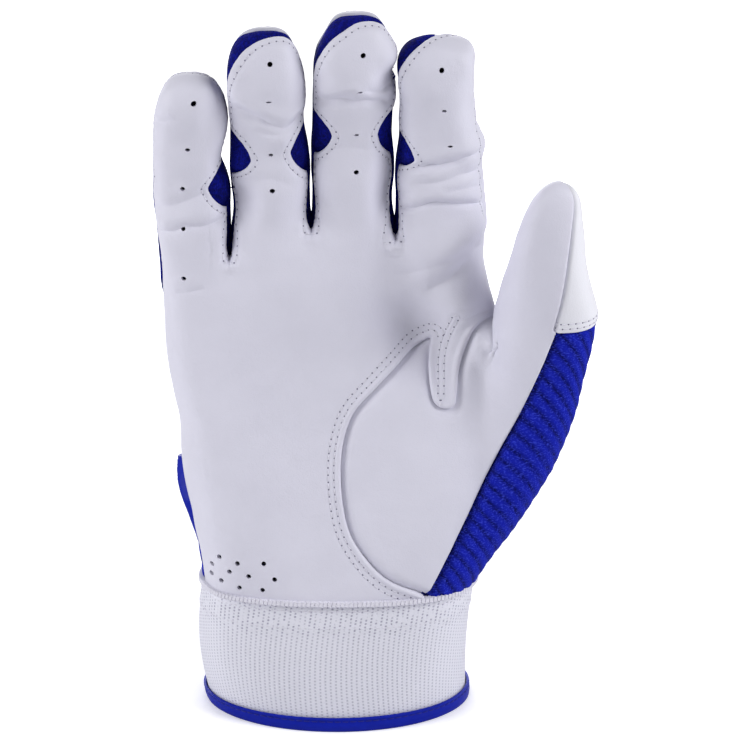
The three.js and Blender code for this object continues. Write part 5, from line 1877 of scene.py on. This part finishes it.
def build_strap():
    hook_out = SEAM_GAP + LOOP_WALL + SEAM_GAP
    for kind, start, end, out, wall, material, body in (
        ("loop", LOOP_START, LOOP_END, SEAM_GAP, LOOP_WALL, LOOP_NYLON, "hand"),
        ("hook", HOOK_START, HOOK_END, hook_out, HOOK_WALL, HOOK_NYLON, "strap"),
    ):
        pad = plate(kind + "_pad", ring_angles(start, end, 1.5), PATCH_LOW, PATCH_HIGH, out, wall)
        settle(pad, material, kind + "_nylon", body, kind + "_patch")
    angles = ring_angles(STRAP_ROOT, STRAP_END, 0.7)
    rise = smoothstep(STRAP_ROOT, STRAP_ROOT + STRAP_ROOT_RUN, angles)
    out = lerp(SEAM_GAP, hook_out + HOOK_WALL + SEAM_GAP, rise)
    strap = plate("strap_leather", angles, STRAP_LOW, STRAP_HIGH, out, STRAP_WALL, 24, STRAP_ROUND,
                  STRAP_SOFT, PANEL_START)
    settle(strap, BACK_LEATHER, "strap_leather", "strap", "wrist_strap")
    run = cuff_run(angles, STRAP_LOW)
    left = run[-1] - run
    inner = (run > STRAP_ROW) & (left > STRAP_ROW)
    top = out[inner] + STRAP_WALL
    drawn = corner_draw(left[inner] - STRAP_ROW, STRAP_ROUND - STRAP_ROW)
    lower = STRAP_LOW + STRAP_ROW + drawn
    upper = STRAP_HIGH - STRAP_ROW - drawn
    places = cuff_line(angles[inner], lower, top, STITCH_PITCH)
    places += cuff_line(angles[inner][::-1], upper[::-1], top[::-1], STITCH_PITCH)
    across = np.linspace(STRAP_LOW + STRAP_ROW, STRAP_HIGH - STRAP_ROW, 12)
    for column in (np.argmax(run > STRAP_ROW), np.argmax(run > 2 * STRAP_ROW)):
        line = np.full(len(across), angles[column])
        places += cuff_line(line, across, out[column] + STRAP_WALL, STITCH_PITCH)
    settle(stitch_mesh("strap_stitches", places), WHITE_THREAD, "strap_leather", "strap")
    # Dots of painted shadow at the needle holes, between the stitches
    hole_shadows = [(here + along * STITCH_PITCH / 2, along, up) for here, along, up in places]
    settle(hole_shadow_mesh("strap_stitch_holes", hole_shadows), NEEDLE_HOLE_SHADOW, "strap_leather", "strap")


build_cuff()
build_strap()


# Floor, light and camera

CAMERA_HEIGHT = 105.9
CAMERA_DISTANCE = 800.0
CAMERA_ELEVATION = math.radians(15)
MM_PER_PIXEL = 0.31
IMAGE_PIXELS = 750
SENSOR = 36.0
# The floor, in metres: its size, and where its glow towards the camera starts to grow and is full
FLOOR_SIZE = 6
FLOOR_NEAR, FLOOR_FAR = 0.2, 0.8
FLOOR_GLOW_NEAR, FLOOR_GLOW_FAR = 0.3, 1.0
WORLD_LIGHT = 0.2
WHITE = (1, 1, 1, 1)
# Lamps: place and size in metres, and power in watts; all point at a place within the glove
LAMPS = {
    "left": ((-0.85, -0.3, 0.5), 0.5, 5.8),
    "right": ((0.8, -0.4, 0.65), 0.5, 7.6),
    "back": ((-0.1, 0.85, 0.5), 0.6, 4.6),
}
LAMP_TARGET = Vector((0, 0, 0.1))


def facing(direction):
    """The turn of a camera or lamp that looks in a direction."""
    return direction.to_track_quat("-Z", "Y").to_euler()


def build_camera():
    camera = bpy.data.objects.new("camera", bpy.data.cameras.new("camera"))
    bpy.context.collection.objects.link(camera)
    target = Vector(to_frame((0, 0, CAMERA_HEIGHT)))
    back = Vector((0, -math.cos(CAMERA_ELEVATION), math.sin(CAMERA_ELEVATION)))
    camera.location = target + back * CAMERA_DISTANCE * MM
    camera.rotation_euler = facing(-back)
    camera.data.sensor_width = SENSOR
    camera.data.lens = SENSOR * CAMERA_DISTANCE / (IMAGE_PIXELS * MM_PER_PIXEL)
    bpy.context.scene.camera = camera


def build_floor():
    bpy.ops.object.select_all(action="DESELECT")
    bpy.ops.mesh.primitive_plane_add(size=FLOOR_SIZE)
    floor = bpy.context.object
    floor.name = "floor"
    material, tree = new_material("white_studio_floor")
    away = add(tree, "VectorMath", {0: add(tree, "TexCoord").outputs["Object"]}, operation="LENGTH")
    far = add(tree, "MapRange", {"Value": away, "From Min": FLOOR_NEAR, "From Max": FLOOR_FAR,
                                 "To Min": FLOOR_GLOW_NEAR, "To Max": FLOOR_GLOW_FAR})
    seen = add(tree, "LightPath").outputs["Is Camera Ray"]
    glow = add(tree, "Math", {0: seen, 1: far}, operation="MULTIPLY")
    shader = add(tree, "BsdfPrincipled", {"Base Color": linear("f4f4f6"), "Roughness": 0.9,
                                          "Emission Color": WHITE, "Emission Strength": glow})
    add(tree, "OutputMaterial", {"Surface": shader})
    floor.data.materials.append(material)


def build_light():
    world = bpy.data.worlds.new("studio")
    world.use_nodes = True
    bpy.context.scene.world = world
    tree = world.node_tree
    tree.nodes.clear()
    rays = add(tree, "LightPath")
    seen = add(tree, "Math", {0: rays.outputs["Is Camera Ray"], 1: rays.outputs["Is Glossy Ray"]},
               operation="MAXIMUM")
    strength = add(tree, "MapRange", {"Value": seen, "To Min": WORLD_LIGHT, "To Max": 1.0})
    light = add(tree, "Background", {"Color": WHITE, "Strength": strength})
    add(tree, "OutputWorld", {"Surface": light})
    for name, (place, size, power) in LAMPS.items():
        lamp = bpy.data.objects.new(name, bpy.data.lights.new(name, "AREA"))
        lamp.data.size = size
        lamp.data.energy = power
        lamp.location = place
        lamp.rotation_euler = facing(LAMP_TARGET - Vector(place))
        bpy.context.collection.objects.link(lamp)
    bpy.context.scene.view_settings.view_transform = "Standard"

build_camera()
build_floor()
build_light()
